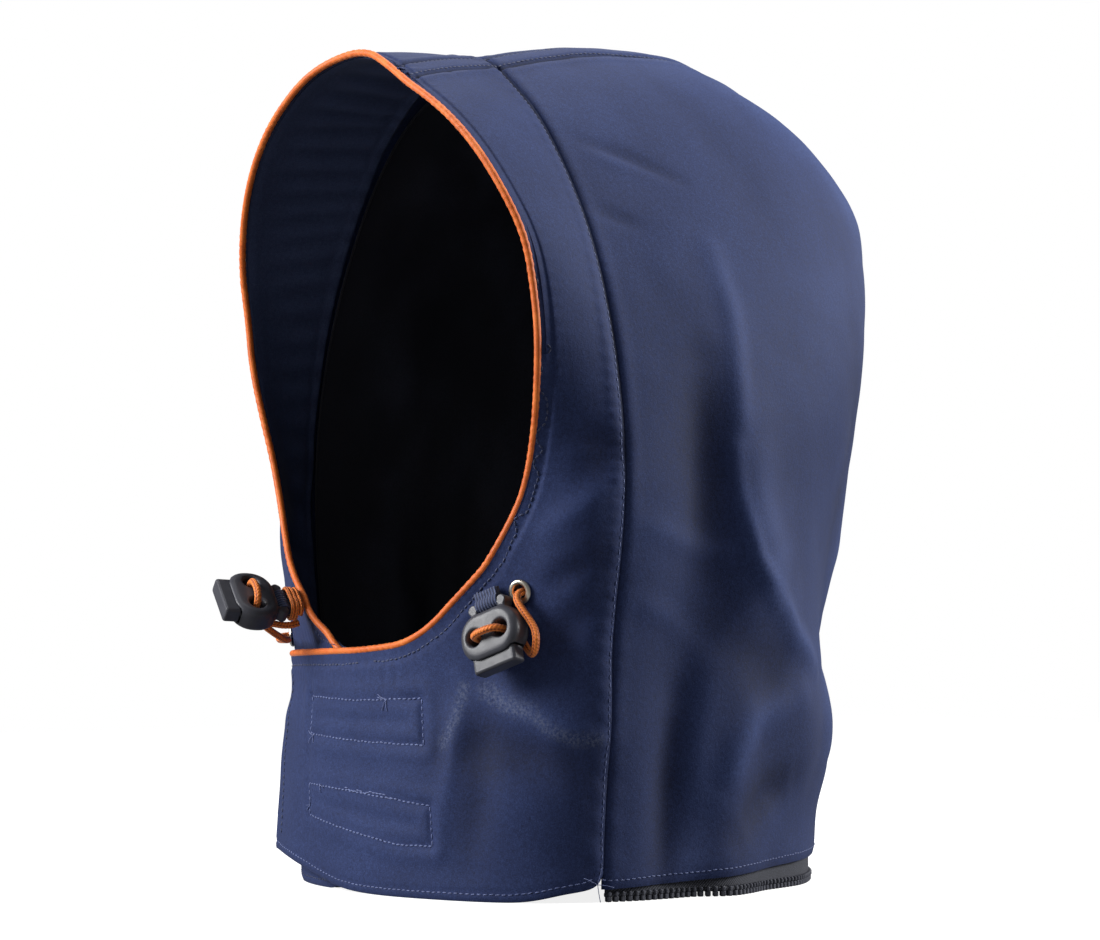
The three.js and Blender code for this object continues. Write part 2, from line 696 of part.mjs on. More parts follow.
// The band's ribs from the strip's edge to the end of the flap or underlap, with steps between them
function bandRibs(side) {
  const start = { open: stripEdgeOpen(side), outer: stripEdgeOuter(side), bulge: BROW_BULGE };
  const ribs = [start, ...BAND_RIBS, ...(side > 0 ? FLAP_RIBS : UNDERLAP_RIBS)];
  const fine = [];
  for (let i = 0; i < ribs.length - 1; i += 1) {
    const steps = i === 0 && side < 0 ? BROW_STEPS : BAND_STEPS;
    for (let k = 0; k < steps; k += 1) {
      const t = k / steps;
      fine.push({
        open: THREE.MathUtils.lerp(ribs[i].open, ribs[i + 1].open, t),
        outer: THREE.MathUtils.lerp(ribs[i].outer, ribs[i + 1].outer, t),
        bulge: THREE.MathUtils.lerp(ribs[i].bulge, ribs[i + 1].bulge, t),
      });
    }
  }
  fine.push(ribs.at(-1));
  return fine;
}

// The underlap dips behind the flap by the thickness of the flap and its facing
const LAP_DIP = SHELL + FACING + 6 * CLEAR;

function bandPoint(side, rib, across) {
  const from = openPoint(side, rib.open);
  const to = outerPoint(rib.outer);
  const point = from.clone().lerp(to, across);
  if (across > 0 && across < 1) {
    const low = 1 - THREE.MathUtils.smoothstep(point.z, COLLAR_TOP, COLLAR_TOP + COLLAR_FADE);
    point.lerp(ontoCollar(point), low * THREE.MathUtils.smoothstep(across, 0, 0.5));
    point.addScaledVector(outward(point), rib.bulge * HEM_HALF_WIDTH * 4 * across * (1 - across));
  }
  const lifted = folded(point);
  if (side > 0) {
    const free = THREE.MathUtils.smoothstep(-lifted.x / -FLAP_END_X, 0.45, 1);
    const low = 1 - THREE.MathUtils.smoothstep(lifted.z / OPENING_BOTTOM, 0, 0.9);
    lifted.addScaledVector(outward(lifted).setZ(0), FLAP_FLARE * free * low);
  } else {
    const lapX = LAP_START - FLAP_END_X;
    const lapZ = OPENING_BOTTOM + LAP_TOP;
    const behind = 1 - THREE.MathUtils.smoothstep(lifted.x, lapX, lapX + LAP_FADE);
    const below = 1 - THREE.MathUtils.smoothstep(lifted.z, lapZ, lapZ + LAP_TOP_FADE);
    lifted.addScaledVector(outward(lifted), -LAP_DIP * behind * below);
  }
  lifted.x *= side;
  lifted.z = to.z < 0.5 && across === 1 ? 0 : lifted.z;
  return lifted;
}

function bandGrid(side) {
  return bandRibs(side).map((rib) => {
    const line = [];
    for (let k = 0; k <= BAND_ACROSS; k += 1) {
      const point = bandPoint(side, rib, k / BAND_ACROSS);
      if (k === BAND_ACROSS && rib.outer <= 1) {
        point.y -= CLEAR / 2;
      }
      line.push(point);
    }
    return line;
  });
}
const leftBand = bandGrid(1);
const rightBand = bandGrid(-1);
function bandCuts(side) {
  const seamRibs = bandRibs(side).filter((rib) => rib.outer <= 1).length - 1;
  return { firstI: 'x', lastJ: 'y', lastJUntil: seamRibs };
}
const FACING_INSET = SHELL + CLEAR;
const ZIP_INSET = SHELL + 2 * CLEAR;

// The strip's piece across the band, at the brow
function bridgeGrid() {
  return [-1, 0, 1].map((across) => {
    const from = browShift + across * STRIP_HALF;
    const to = stripShift(0) + across * STRIP_HALF;
    const rib = { open: openShareAtX(1, from), outer: archShare(seamLine, to), bulge: BROW_BULGE };
    const line = [];
    for (let k = 0; k <= BAND_ACROSS; k += 1) {
      line.push(bandPoint(1, rib, k / BAND_ACROSS));
    }
    line[BAND_ACROSS].y -= CLEAR / 2;
    return line;
  });
}
const bridge = bridgeGrid();
const BRIDGE_CUTS = { firstI: 'x', lastI: 'x', lastJ: 'y' };
add('band_bridge', sheet(bridge, 0, SHELL, BRIDGE_CUTS), NAVY);
add('facing_bridge', sheet(bridge, FACING_INSET, FACING, BRIDGE_CUTS), NAVY_FACING);

// Frame of a place on a band: its point, the way out of the cloth and the way away from the opening
function placeOnBand(side, place) {
  const at = (along, across) => bandPoint(side, {
    open: place.open + along, outer: place.outer + along, bulge: 0 }, place.across + across);
  const point = at(0, 0);
  const away = at(0, 0.05).sub(at(0, -0.05)).normalize();
  const normal = at(0.015, 0).sub(at(-0.015, 0)).cross(away).normalize();
  if (normal.dot(outward(point)) < 0) {
    normal.negate();
  }
  return { point, normal, away };
}

// Eyelets, set in real holes through the band and its facing
const EYELET_BARREL = EYELET_HOLE / 2 + 0.6;
const EYELET_LIFT = CLEAR + 0.15;

function eyeletHole(place) {
  const turn = new THREE.Quaternion().setFromUnitVectors(new THREE.Vector3(0, 1, 0), place.normal);
  const drill = new THREE.CylinderGeometry(EYELET_BARREL + CLEAR, EYELET_BARREL + CLEAR, 14, 16);
  const seatRadius = EYELET_DIAMETER / 2 + CLEAR;
  const seat = new THREE.CylinderGeometry(seatRadius, seatRadius, 5, 16);
  seat.translate(0, 2.5 + EYELET_LIFT - CLEAR, 0);
  return [drill, seat].map((cutter) => {
    cutter.applyQuaternion(turn);
    cutter.translate(place.point.x, place.point.y, place.point.z);
    return toSolid(cutter);
  }).reduce((all, one) => all.add(one));
}

function eyeletGeometry() {
  const deep = SHELL + FACING + 2 * CLEAR;
  const profile = [
    [EYELET_HOLE / 2, -deep],
    [EYELET_BARREL, -deep],
    [EYELET_BARREL, EYELET_LIFT],
    [EYELET_DIAMETER / 2, EYELET_LIFT],
    [EYELET_DIAMETER / 2 - 0.5, EYELET_LIFT + EYELET_RIM],
    [EYELET_HOLE / 2 + 0.4, EYELET_LIFT + EYELET_RIM],
    [EYELET_HOLE / 2, EYELET_LIFT + EYELET_RIM / 2],
    [EYELET_HOLE / 2, -deep],
  ].map(([r, h]) => new THREE.Vector2(r, h));
  return new THREE.LatheGeometry(profile, 16);
}

const sides = { left: 1, right: -1 };
const eyelets = {};
for (const [name, side] of Object.entries(sides)) {
  const place = placeOnBand(side, EYELET_PLACES[name]);
  eyelets[name] = place;
  const grid = side > 0 ? leftBand : rightBand;
  const hole = eyeletHole(place);
  const band = toSolid(sheet(grid, 0, SHELL, bandCuts(side), 1)).subtract(hole);
  const facing = toSolid(sheet(grid, FACING_INSET, FACING, bandCuts(side), 1)).subtract(hole);
  add(`front_band_${name}`, toGeometry(band), NAVY);
  add(`facing_${name}`, toGeometry(facing), NAVY_FACING);
  const ring = add(`eyelet_${name}`, eyeletGeometry(), SILVER);
  ring.position.copy(place.point);
  ring.quaternion.setFromUnitVectors(new THREE.Vector3(0, 1, 0), place.normal);
}

// Black lining behind the side panels, open down the middle of the back
function liningLine(panel, i) {
  const line = panel[i].filter((point, j) => j % 2 === 0 || j === PANEL_ROWS);
  const [above, hem] = line.slice(-2);
  line[line.length - 1] = hem.clone().lerp(above, LINING_HEM / hem.distanceTo(above));
  return line;
}

function liningGrid() {
  const columns = leftPanel.map((line, i) => i).filter((i) => i < 3 || i % 2 === 0);
  return columns.map((i) => {
    const line = [...liningLine(leftPanel, i).reverse(), ...liningLine(rightPanel, i)];
    return line.map((point) => {
      const x = i === PANEL_COLUMNS ? Math.sign(point.x) * CLEAR : point.x;
      return new THREE.Vector3(x, point.y + (i === 0 ? CLEAR / 2 : 0), point.z);
    });
  });
}

function liningSheet() {
  const grid = liningGrid();
  const normals = gridNormals(grid);
  const shifted = grid.map((line, i) => line.map((point, j) => {
    const space = SHELL + LINING_SPACE * Math.min(1, 0.5 + i / 4);
    const normal = normals[i][j].clone();
    if (i === 0) {
      normal.setY(0).normalize();
    }
    if (i === grid.length - 1) {
      normal.setX(0).normalize();
    }
    return point.clone().addScaledVector(normal, -space);
  }));
  return sheet(shifted, 0, LINING, { firstI: 'y', lastI: 'x' });
}
add('lining', liningSheet(), BLACK_LINING);

// Piping round the opening and along the flap, a covered cord that lies in front of both edges of the band
function pipingLine(grid) {
  const normals = gridNormals(grid);
  return grid.map((line, i) => {
    const ahead = line[0].clone().sub(line[1]).normalize();
    return line[0].clone().addScaledVector(ahead, PIPING_DIAMETER / 2 + PIPING_GAP)
      .addScaledVector(normals[i][0], -(SHELL + FACING + CLEAR) / 2);
  });
}

function tube(points, diameter, steps, sidesRound = ROUND_SIDES) {
  const path = new THREE.CatmullRomCurve3(points, false, 'centripetal');
  const section = new THREE.Shape();
  for (let i = 0; i < sidesRound; i += 1) {
    const angle = (2 * Math.PI * i) / sidesRound;
    const at = [(diameter / 2) * Math.cos(angle), (diameter / 2) * Math.sin(angle)];
    if (i === 0) {
      section.moveTo(...at);
    } else {
      section.lineTo(...at);
    }
  }
  return new THREE.ExtrudeGeometry(section, {
    extrudePath: path, steps, curveSegments: 1, bevelEnabled: false });
}
const hiddenRibs = bandRibs(-1).filter((rib) => rib.open > 0.95).length;
const pipingPoints = [...pipingLine(leftBand).reverse(), ...pipingLine(rightBand).slice(0, -hiddenRibs)];
add('face_piping', tube(pipingPoints, PIPING_DIAMETER, PIPING_STEPS), ORANGE);

// Cord locks. In a lock's own frame X runs along it, Y from its bail to its button and Z out of its face.
function roundedBlock(length, width, depth, corner, rounding) {
  const x = length / 2 - rounding;
  const y = width / 2 - rounding;
  const r = Math.max(corner - rounding, 0.2);
  const outline = new THREE.Shape();
  outline.moveTo(-x + r, -y);
  outline.lineTo(x - r, -y);
  outline.absarc(x - r, -y + r, r, -Math.PI / 2, 0);
  outline.lineTo(x, y - r);
  outline.absarc(x - r, y - r, r, 0, Math.PI / 2);
  outline.lineTo(-x + r, y);
  outline.absarc(-x + r, y - r, r, Math.PI / 2, Math.PI);
  outline.lineTo(-x, -y + r);
  outline.absarc(-x + r, -y + r, r, Math.PI, 1.5 * Math.PI);
  const block = new THREE.ExtrudeGeometry(outline, {
    depth: depth - 2 * rounding,
    bevelThickness: rounding,
    bevelSize: rounding,
    bevelSegments: 1,
    curveSegments: 4,
  });
  block.translate(0, 0, -depth / 2 + rounding);
  return block;
}

function box(length, width, depth, x, y, z) {
  const block = new THREE.BoxGeometry(length, width, depth);
  block.translate(x, y, z);
  return toSolid(block);
}

const BAIL_CENTRE = -(LOCK_WIDTH / 2 + BAIL_REACH - BAIL_BAR / 2);
const POCKET_FLOOR = LOCK_WIDTH / 2 - BUTTON_INSIDE - BUTTON_TRAVEL - CLEAR;

function lockBody() {
  let body = toSolid(roundedBlock(LOCK_LENGTH, LOCK_WIDTH, LOCK_DEPTH, LOCK_CORNER, LOCK_ROUND));
  const bailWidth = BAIL_SLOT + 2 * BAIL_BAR;
  const bailY = -(LOCK_WIDTH + BAIL_REACH - BAIL_ROOT) / 2;
  body = body.add(box(bailWidth, BAIL_REACH + BAIL_ROOT, BAIL_DEPTH, 0, bailY, 0));
  const slot = BAIL_REACH - BAIL_BAR;
  body = body.subtract(box(BAIL_SLOT, slot, LOCK_DEPTH, 0, -(LOCK_WIDTH + slot) / 2, 0));
  for (const way of [-1, 1]) {
    const drill = new THREE.CylinderGeometry(LOCK_HOLE / 2, LOCK_HOLE / 2, LOCK_DEPTH * 2, 14);
    drill.rotateX(Math.PI / 2);
    drill.translate((way * LOCK_HOLE_SPACING) / 2, 0, 0);
    body = body.subtract(toSolid(drill));
  }
  const pocket = LOCK_WIDTH - POCKET_FLOOR;
  body = body.subtract(box(BUTTON_LENGTH + 2 * CLEAR, pocket, BUTTON_DEPTH + 2 * CLEAR, 0,
    POCKET_FLOOR + pocket / 2, 0));
  return toGeometry(body);
}

function lockButton() {
  const height = BUTTON_PROUD + BUTTON_INSIDE;
  const button = roundedBlock(BUTTON_LENGTH, BUTTON_DEPTH, height, 2.4, 0.8);
  button.rotateX(-Math.PI / 2);
  button.translate(0, LOCK_WIDTH / 2 + BUTTON_PROUD - height / 2, 0);
  return button;
}

// Ribbed webbing tab: a loop round the bail's bar and a tail to the cloth, which drops by an angle
function lockTab(tail, drop) {
  const inner = Math.hypot(BAIL_BAR, BAIL_DEPTH) / 2 + CLEAR;
  const outer = inner + TAB_THICKNESS;
  const half = Math.asin(TAB_THICKNESS / outer);
  const start = Math.PI + half;
  const end = 3 * Math.PI - half;
  const outline = new THREE.Shape();
  outline.absarc(0, 0, outer, start, end);
  outline.lineTo(-outer - tail, TAB_THICKNESS);
  outline.lineTo(-outer - tail, -TAB_THICKNESS);
  const bore = new THREE.Path();
  bore.absarc(0, 0, inner, 0, 2 * Math.PI);
  outline.holes.push(bore);
  const tab = new THREE.ExtrudeGeometry(outline, { depth: TAB_WIDTH, bevelEnabled: false, curveSegments: 7 });
  tab.translate(0, 0, -TAB_WIDTH / 2);
  tab.rotateZ(drop);
  tab.applyMatrix4(new THREE.Matrix4().set(0, 0, 1, 0, 1, 0, 0, BAIL_CENTRE, 0, 1, 0, 0, 0, 0, 0, 1));
  return tab;
}

// Frame of each lock. The left one lies on its band by the eyelet; the right one stands out from the piping
// on its stiff tab.
function lockFrame(centre, along, face) {
  const across = face.clone().cross(along).normalize();
  return new THREE.Matrix4().makeBasis(along, across, face).setPosition(centre);
}

function leftLockFrame() {
  const { point, normal, away } = placeOnBand(1, LEFT_LOCK_PLACE);
  const flat = away.clone().addScaledVector(normal, -away.dot(normal)).normalize();
  const along = flat.clone().applyAxisAngle(normal, LEFT_LOCK_TURN);
  const face = normal.clone().applyAxisAngle(along, LEFT_LOCK_LEAN);
  const centre = point.clone().addScaledVector(normal, LOCK_DEPTH / 2 + LEFT_LOCK_STAND * CORD_DIAMETER);
  return lockFrame(centre, along, face);
}

const LOOP_OUTER = Math.hypot(BAIL_BAR, BAIL_DEPTH) / 2 + CLEAR + TAB_THICKNESS;

function rightLockFrame() {
  const root = bandPoint(-1, RIGHT_TAB_PLACE, 0);
  const away = new THREE.Vector3(...RIGHT_LOCK_WAY).normalize();
  const hint = new THREE.Vector3(...RIGHT_LOCK_ALONG);
  const along = hint.addScaledVector(away, -hint.dot(away)).normalize();
  const face = along.clone().cross(away).normalize();
  const reach = RIGHT_TAB_GAP + RIGHT_TAB_TAIL + LOOP_OUTER - BAIL_CENTRE;
  return lockFrame(root.addScaledVector(away, reach), along, face);
}
const lockFrames = { left: leftLockFrame(), right: rightLockFrame() };
const lockTabs = { left: lockTab(LEFT_TAB_TAIL, LEFT_TAB_DROP), right: lockTab(RIGHT_TAB_TAIL, 0) };
for (const name of Object.keys(sides)) {
  const pieces = [
    add(`lock_body_${name}`, lockBody(), LOCK_GREY),
    add(`lock_button_${name}`, lockButton(), LOCK_GREY),
    add(`lock_tab_${name}`, lockTabs[name], WEBBING),
  ];
  pieces.forEach((piece) => piece.applyMatrix4(lockFrames[name]));
}

// Draw cords: each leaves its eyelet, runs up through one hole of the lock, over the face and down the other
function drawCord(name, rows) {
  const { point, normal } = eyelets[name];
  const size = new THREE.Vector3(LOCK_LENGTH, LOCK_WIDTH, LOCK_DEPTH);
  const fromEyelet = [-2.4, -0.6, 0.8, 1.5].map((height) => (
    point.clone().addScaledVector(normal, height * CORD_DIAMETER)));
  const inLock = rows.map((row) => (
    new THREE.Vector3(row.along, row.across, row.out).multiply(size).applyMatrix4(lockFrames[name])));
  return [...fromEyelet, ...inLock];
}
add('draw_cord_left', tube(drawCord('left', LEFT_CORD), CORD_DIAMETER, CORD_STEPS), ORANGE);
add('draw_cord_right', tube(drawCord('right', RIGHT_CORD), CORD_DIAMETER, CORD_STEPS), ORANGE);

// Cord wound round the right tab
function wrapPoints() {
  const half = TAB_WIDTH / 2 + WRAP_DIAMETER / 2 + 2 * CLEAR;
  const high = LOOP_OUTER + WRAP_DIAMETER / 2 + CLEAR;
  const start = BAIL_CENTRE - (BAIL_BAR + WRAP_DIAMETER) / 2 - 2 * CLEAR;
  const points = [];
  const steps = WRAP_TURNS * 12;
  for (let i = 0; i <= steps; i += 1) {
    const angle = (2 * Math.PI * i) / 12;
    const square = 1 / Math.max(Math.abs(Math.cos(angle)), Math.abs(Math.sin(angle)));
    const ease = THREE.MathUtils.lerp(1, square, 0.85);
    const y = start - (i / 12) * (WRAP_DIAMETER + 0.1);
    points.push(new THREE.Vector3(half * Math.cos(angle) * ease, y, high * Math.sin(angle) * ease));
  }
  return points.map((point) => point.applyMatrix4(lockFrames.right));
}
add('tab_wrap_right', tube(wrapPoints(), WRAP_DIAMETER, WRAP_TURNS * 12, 6), ORANGE);

// Thin loop at the flap's end
function loopPoints() {
  const end = bandRibs(1).at(-1);
  const near = bandPoint(1, end, LOOP_PLACE);
  const before = bandPoint(1, bandRibs(1).at(-2), LOOP_PLACE);
  const way = near.clone().sub(before).normalize();
  const inward = outward(near).multiplyScalar(-(SHELL + FACING) / 2);
  const leg = (reach, rise) => near.clone().add(inward).addScaledVector(way, reach)
    .add(new THREE.Vector3(0, 0, rise));
  const gap = LOOP_DIAMETER / 2 + CLEAR;
  return [leg(gap, 2), leg(gap + 1.4, 1.8), leg(gap + 2.2, 0), leg(gap + 1.4, -1.8), leg(gap, -2)];
}
add('hem_loop_right', tube(loopPoints(), LOOP_DIAMETER, 10, 6), WEBBING);

// Half of a moulded-tooth zip from one band seam round the back to the other: the tape behind the hem and
// the row of teeth below it
function hemRow(panel, i) {
  const [above, hem] = panel[i].slice(-2);
  const top = hem.clone().lerp(above, (ZIP_TAPE_HEIGHT - TEETH_HEIGHT) / 2 / hem.distanceTo(above));
  const low = hem.clone().setZ(TEETH_HEIGHT + CLEAR);
  const along = i === 0 ? panel[1].at(-1).clone().sub(hem) : hem.clone().sub(panel[i - 1].at(-1));
  const move = i === 0 ? along.normalize().multiplyScalar(ZIP_END) : new THREE.Vector3();
  return [top, hem, low].map((point) => point.clone().add(move));
}

function zipGrid() {
  const left = leftPanel.map((line, i) => hemRow(leftPanel, i));
  const right = rightPanel.map((line, i) => hemRow(rightPanel, i));
  return [...left, ...right.reverse()];
}
const zip = zipGrid();
const teeth = zip.map(([, , low]) => [low.clone().setZ(TEETH_HEIGHT), low.clone().setZ(0)]);
const TEETH_INSET = ZIP_INSET + (ZIP_TAPE - TEETH_DEPTH) / 2;
add('zip_tape', sheet(zip, ZIP_INSET, ZIP_TAPE), ZIP_GREY);
add('zip_teeth', sheet(teeth, TEETH_INSET, TEETH_DEPTH, {}, CROWN_HEIGHT), ZIP_GREY);

// Centred over the origin, standing on the ground plane
hood.updateMatrixWorld(true);
const bounds = new THREE.Box3().setFromObject(hood, true);
const middle = bounds.getCenter(new THREE.Vector3()).setZ(bounds.min.z);
hood.children.forEach((mesh) => mesh.position.sub(middle));

export default hood;
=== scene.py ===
# %% [markdown]
# # A detachable softshell hood
# The hood is a shell of coated cloth: two side panels with a narrow strip between them, and a front band
# round the face with a flap that closes under the chin. Orange piping edges the opening, and a cord with a
# moulded lock pulls each side in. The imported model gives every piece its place; this script dresses it.

# %% Frame and tools
import math
import random

import bmesh
import bpy
import numpy as np
from mathutils import Matrix, Vector, noise
from mathutils.bvhtree import BVHTree


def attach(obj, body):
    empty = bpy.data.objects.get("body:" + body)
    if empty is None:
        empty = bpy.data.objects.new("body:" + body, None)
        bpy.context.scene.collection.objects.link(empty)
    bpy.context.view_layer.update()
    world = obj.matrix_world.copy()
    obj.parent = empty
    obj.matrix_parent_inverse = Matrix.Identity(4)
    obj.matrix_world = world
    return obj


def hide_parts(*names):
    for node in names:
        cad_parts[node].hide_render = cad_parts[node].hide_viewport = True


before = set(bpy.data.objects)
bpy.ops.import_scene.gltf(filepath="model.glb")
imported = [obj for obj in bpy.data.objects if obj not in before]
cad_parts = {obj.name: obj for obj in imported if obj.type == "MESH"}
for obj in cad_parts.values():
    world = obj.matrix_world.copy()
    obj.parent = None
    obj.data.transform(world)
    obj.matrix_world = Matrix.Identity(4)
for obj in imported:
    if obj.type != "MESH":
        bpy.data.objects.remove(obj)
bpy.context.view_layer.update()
MM = 0.001
random.seed(7)


def placed(name, data):
    """An object of some data, linked to the scene."""
    made = bpy.data.objects.new(name, data)
    bpy.context.scene.collection.objects.link(made)
    return made


def in_order(things):
    """The things without repeats in the order that they come, so that each run gives the same result."""
    return list(dict.fromkeys(things))


def mesh_of(name, shape):
    """A mesh of a shape that is needed no longer."""
    mesh = bpy.data.meshes.new(name)
    shape.to_mesh(mesh)
    shape.free()
    return mesh


def worked_out(helper):
    """The mesh that a helper gives with its modifiers. The helper is removed."""
    bpy.context.view_layer.update()
    mesh = bpy.data.meshes.new_from_object(helper.evaluated_get(bpy.context.evaluated_depsgraph_get()))
    bpy.data.objects.remove(helper)
    return mesh


def settle(piece, material, node=None, body="hood"):
    """Gives a piece its material and the body that it rides on, and hides the node that it stands for."""
    piece.data.materials.clear()
    piece.data.materials.append(material)
    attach(piece, body)
    if node is not None:
        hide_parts(node)


# %% [markdown]
# ## Camera
# The photograph is taken with a long lens from the wearer's left and slightly below the middle of the
# hood. A point to aim at, a direction and a distance say this plainly, and the lens follows from the
# focal length in pixels of the 1100 by 940 picture.

# %% Camera
PHOTO_WIDTH = 1100
FOCAL_PIXELS = 3478
SENSOR = 36
AIM = Vector((-0.45, -24.3, 174.4)) * MM
TO_CAMERA = Vector((0.7874, -0.6152, -0.0401)).normalized()
CAMERA_DISTANCE = 1.48

camera_data = bpy.data.cameras.new("photo_camera")
camera_data.sensor_width = SENSOR
camera_data.lens = FOCAL_PIXELS / PHOTO_WIDTH * SENSOR
camera_data.clip_end = 60
camera = placed("photo_camera", camera_data)
camera.location = AIM + TO_CAMERA * CAMERA_DISTANCE
camera.rotation_euler = (-TO_CAMERA).to_track_quat("-Z", "Y").to_euler()
bpy.context.scene.camera = camera
print("camera at", [round(c, 3) for c in camera.location], "lens", round(camera_data.lens, 1))

# %% [markdown]
# ## Shader arithmetic
# A material is easier to read as sums and products than as a list of nodes. This class wraps one socket:
# Python's operators add Math nodes, and one method adds any other node.


# %% A socket with operators
class Wire:
    """A socket of a node tree. Operators add Math nodes, and node() adds any other."""

    def __init__(self, tree, socket=None):
        self.tree = tree
        self.socket = socket

    def node(self, kind, settings=None, inputs=None, out=0):
        made = self.tree.nodes.new(kind)
        for name, value in (settings or {}).items():
            if name == "stops":
                ramp = made.color_ramp.elements
                while len(ramp) < len(value):
                    ramp.new(0.5)
                for stop, (place, colour) in zip(ramp, value):
                    stop.position = place
                    stop.color = colour
            else:
                setattr(made, name, value)
        for name, value in (inputs or {}).items():
            self.feed(made.inputs[name], value)
        return Wire(self.tree, made.outputs[out])

    def feed(self, target, value):
        if isinstance(value, Wire):
            self.tree.links.new(value.socket, target)
        else:
            target.default_value = value

    def maths(self, operation, *values):
        return self.node("ShaderNodeMath", {"operation": operation}, dict(enumerate(values)))

    def __add__(self, other):
        return self.maths("ADD", self, other)

    def __radd__(self, other):
        return self.maths("ADD", other, self)

    def __sub__(self, other):
        return self.maths("SUBTRACT", self, other)

    def __rsub__(self, other):
        return self.maths("SUBTRACT", other, self)

    def __mul__(self, other):
        return self.maths("MULTIPLY", self, other)

    def __rmul__(self, other):
        return self.maths("MULTIPLY", other, self)

    def __truediv__(self, other):
        return self.maths("DIVIDE", self, other)

    def __pow__(self, other):
        return self.maths("POWER", self, other)

    def clip(self, low, high):
        """0 below low, 1 above high and smooth between them."""
        return self.node("ShaderNodeMapRange", {"interpolation_type": "SMOOTHSTEP"},
                         {"Value": self, "From Min": low, "From Max": high})

    def sine(self):
        return self.maths("SINE", self)


def linear(red, green, blue):
    """A colour of 0 to 255 as the shader's linear colour."""
    parts = [c / 255 for c in (red, green, blue)]
    return (*[c / 12.92 if c < 0.04 else ((c + 0.055) / 1.055) ** 2.4 for c in parts], 1.0)


def start_material(name, roughness=0.8, metallic=0.0, **uniform):
    """A material with its shader, and the wire that the other nodes are added from."""
    material = bpy.data.materials.new(name)
    material.use_nodes = True
    shader = material.node_tree.nodes["Principled BSDF"]
    shader.inputs["Roughness"].default_value = roughness
    shader.inputs["Metallic"].default_value = metallic
    for socket, value in uniform.items():
        shader.inputs[socket.replace("_", " ")].default_value = value
    return material, shader, Wire(material.node_tree)


def grain(wire, where, scale, detail=2.0, roughness=0.5):
    """Noise with spots of about one metre over scale."""
    return wire.node("ShaderNodeTexNoise", {}, {"Vector": where, "Scale": scale, "Detail": detail,
                                                "Roughness": roughness})


def blend_colours(wire, share, first, second):
    return wire.node("ShaderNodeMix", {"data_type": "RGBA"},
                     {"Factor": share, "A": first, "B": second}, out="Result")


def ramp(wire, tone, stops):
    return wire.node("ShaderNodeValToRGB", {"stops": stops}, {"Fac": tone})


def object_place(wire):
    return wire.node("ShaderNodeTexCoord", out="Object")


def kept_value(wire, name):
    """A value that the mesh keeps as an attribute."""
    return wire.node("ShaderNodeAttribute", {"attribute_name": name}, out="Fac")


def axes(vector):
    """The X, Y and Z of a vector."""
    parts = vector.node("ShaderNodeSeparateXYZ", {}, {"Vector": vector}).socket.node
    return [Wire(vector.tree, parts.outputs[axis]) for axis in "XYZ"]


def raise_bump(wire, shader, height, distance, strength=1.0):
    bump = wire.node("ShaderNodeBump", {}, {"Height": height, "Distance": distance, "Strength": strength})
    wire.feed(shader.inputs["Normal"], bump)


# %% [markdown]
# ## Coated cloth
# Softshell is a knitted polyester with a smooth matt face. Close up it has a fine speckle. The speckle and
# the knit come from noise on Object coordinates. How far each point lies in or out of a fold is kept on the
# mesh as the attribute "rise", which paints the folds' ridges paler and their hollows darker: painted
# highlight and painted shade. Paler chalky patches below the near lock are kept as a second attribute; they
# are part rubbed wear and part painted highlight on the folds there. The depth in a seam's groove, kept as a
# third, paints shade into the seams.

# %% Cloth materials
# the deepest navy is only the painted shade in the seams' grooves
NAVY_SEAM_SHADE = linear(9, 12, 24)
NAVY_DARK = linear(26, 33, 62)
NAVY_MID = linear(41, 53, 93)
NAVY_PALE = linear(62, 78, 126)
# the chalk colour serves both rubbed wear and painted highlight
CHALK_AND_HIGHLIGHT = linear(104, 112, 136)


def softshell(name, dark, mid, pale, speckle=1.0):
    material, shader, wire = start_material(name, roughness=0.82, Sheen_Weight=0.05, Sheen_Roughness=0.45,
                                            Specular_IOR_Level=0.18)
    where = object_place(wire)
    fine = grain(wire, where, 2100, 1.0)
    coarse = grain(wire, where, 620, 2.0)
    patch = grain(wire, where, 26, 3.0, 0.55)
    rise = kept_value(wire, "rise")
    scuff = kept_value(wire, "scuff")
    tone = (fine - 0.5) * (0.9 * speckle) + (coarse - 0.5) * (0.5 * speckle) + (patch - 0.5) * 0.35
    # the fold height paints the ridges paler and the hollows darker: painted highlight and painted shade
    tone = tone + rise * 0.30 + 0.42
    shade = ramp(wire, tone, [(0.0, dark), (0.45, mid), (1.0, pale)])
    # paler chalky patches below the near lock: part rubbed wear, part painted highlight on the folds' ridges
    dust_and_highlight = (scuff * (grain(wire, where, 900, 3.0, 0.7) - 0.34) * 3.0).clip(0.0, 1.0) * 0.55
    # the seams' grooves are painted darker towards the deepest navy: painted shade
    crease = kept_value(wire, "crease")
    colour = blend_colours(wire, dust_and_highlight, blend_colours(wire, crease * 0.8, shade, NAVY_SEAM_SHADE), CHALK_AND_HIGHLIGHT)
    wire.feed(shader.inputs["Base Color"], colour)
    wire.feed(shader.inputs["Roughness"], 0.74 + (coarse - 0.5) * 0.16 + dust_and_highlight * 0.2)
    raise_bump(wire, shader, fine * 0.6 + coarse * 0.8, 0.00016, 0.65)
    return material


navy_cloth = softshell("navy_softshell", NAVY_DARK, NAVY_MID, NAVY_PALE)
navy_facing = softshell("navy_facing_knit", linear(30, 36, 58), linear(50, 60, 90), linear(72, 84, 120), 0.7)
print("cloth materials:", navy_cloth.name, navy_facing.name)

# %% [markdown]
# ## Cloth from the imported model
# Each cloth node is a thin closed solid. Its outer wall alone is copied, its triangles are joined to
# squares, and a subdivision surface rounds it. Folds and seams then move the points of that one wall, and
# Solidify gives the cloth its thickness back. Working on one wall keeps both sides of the cloth alike.

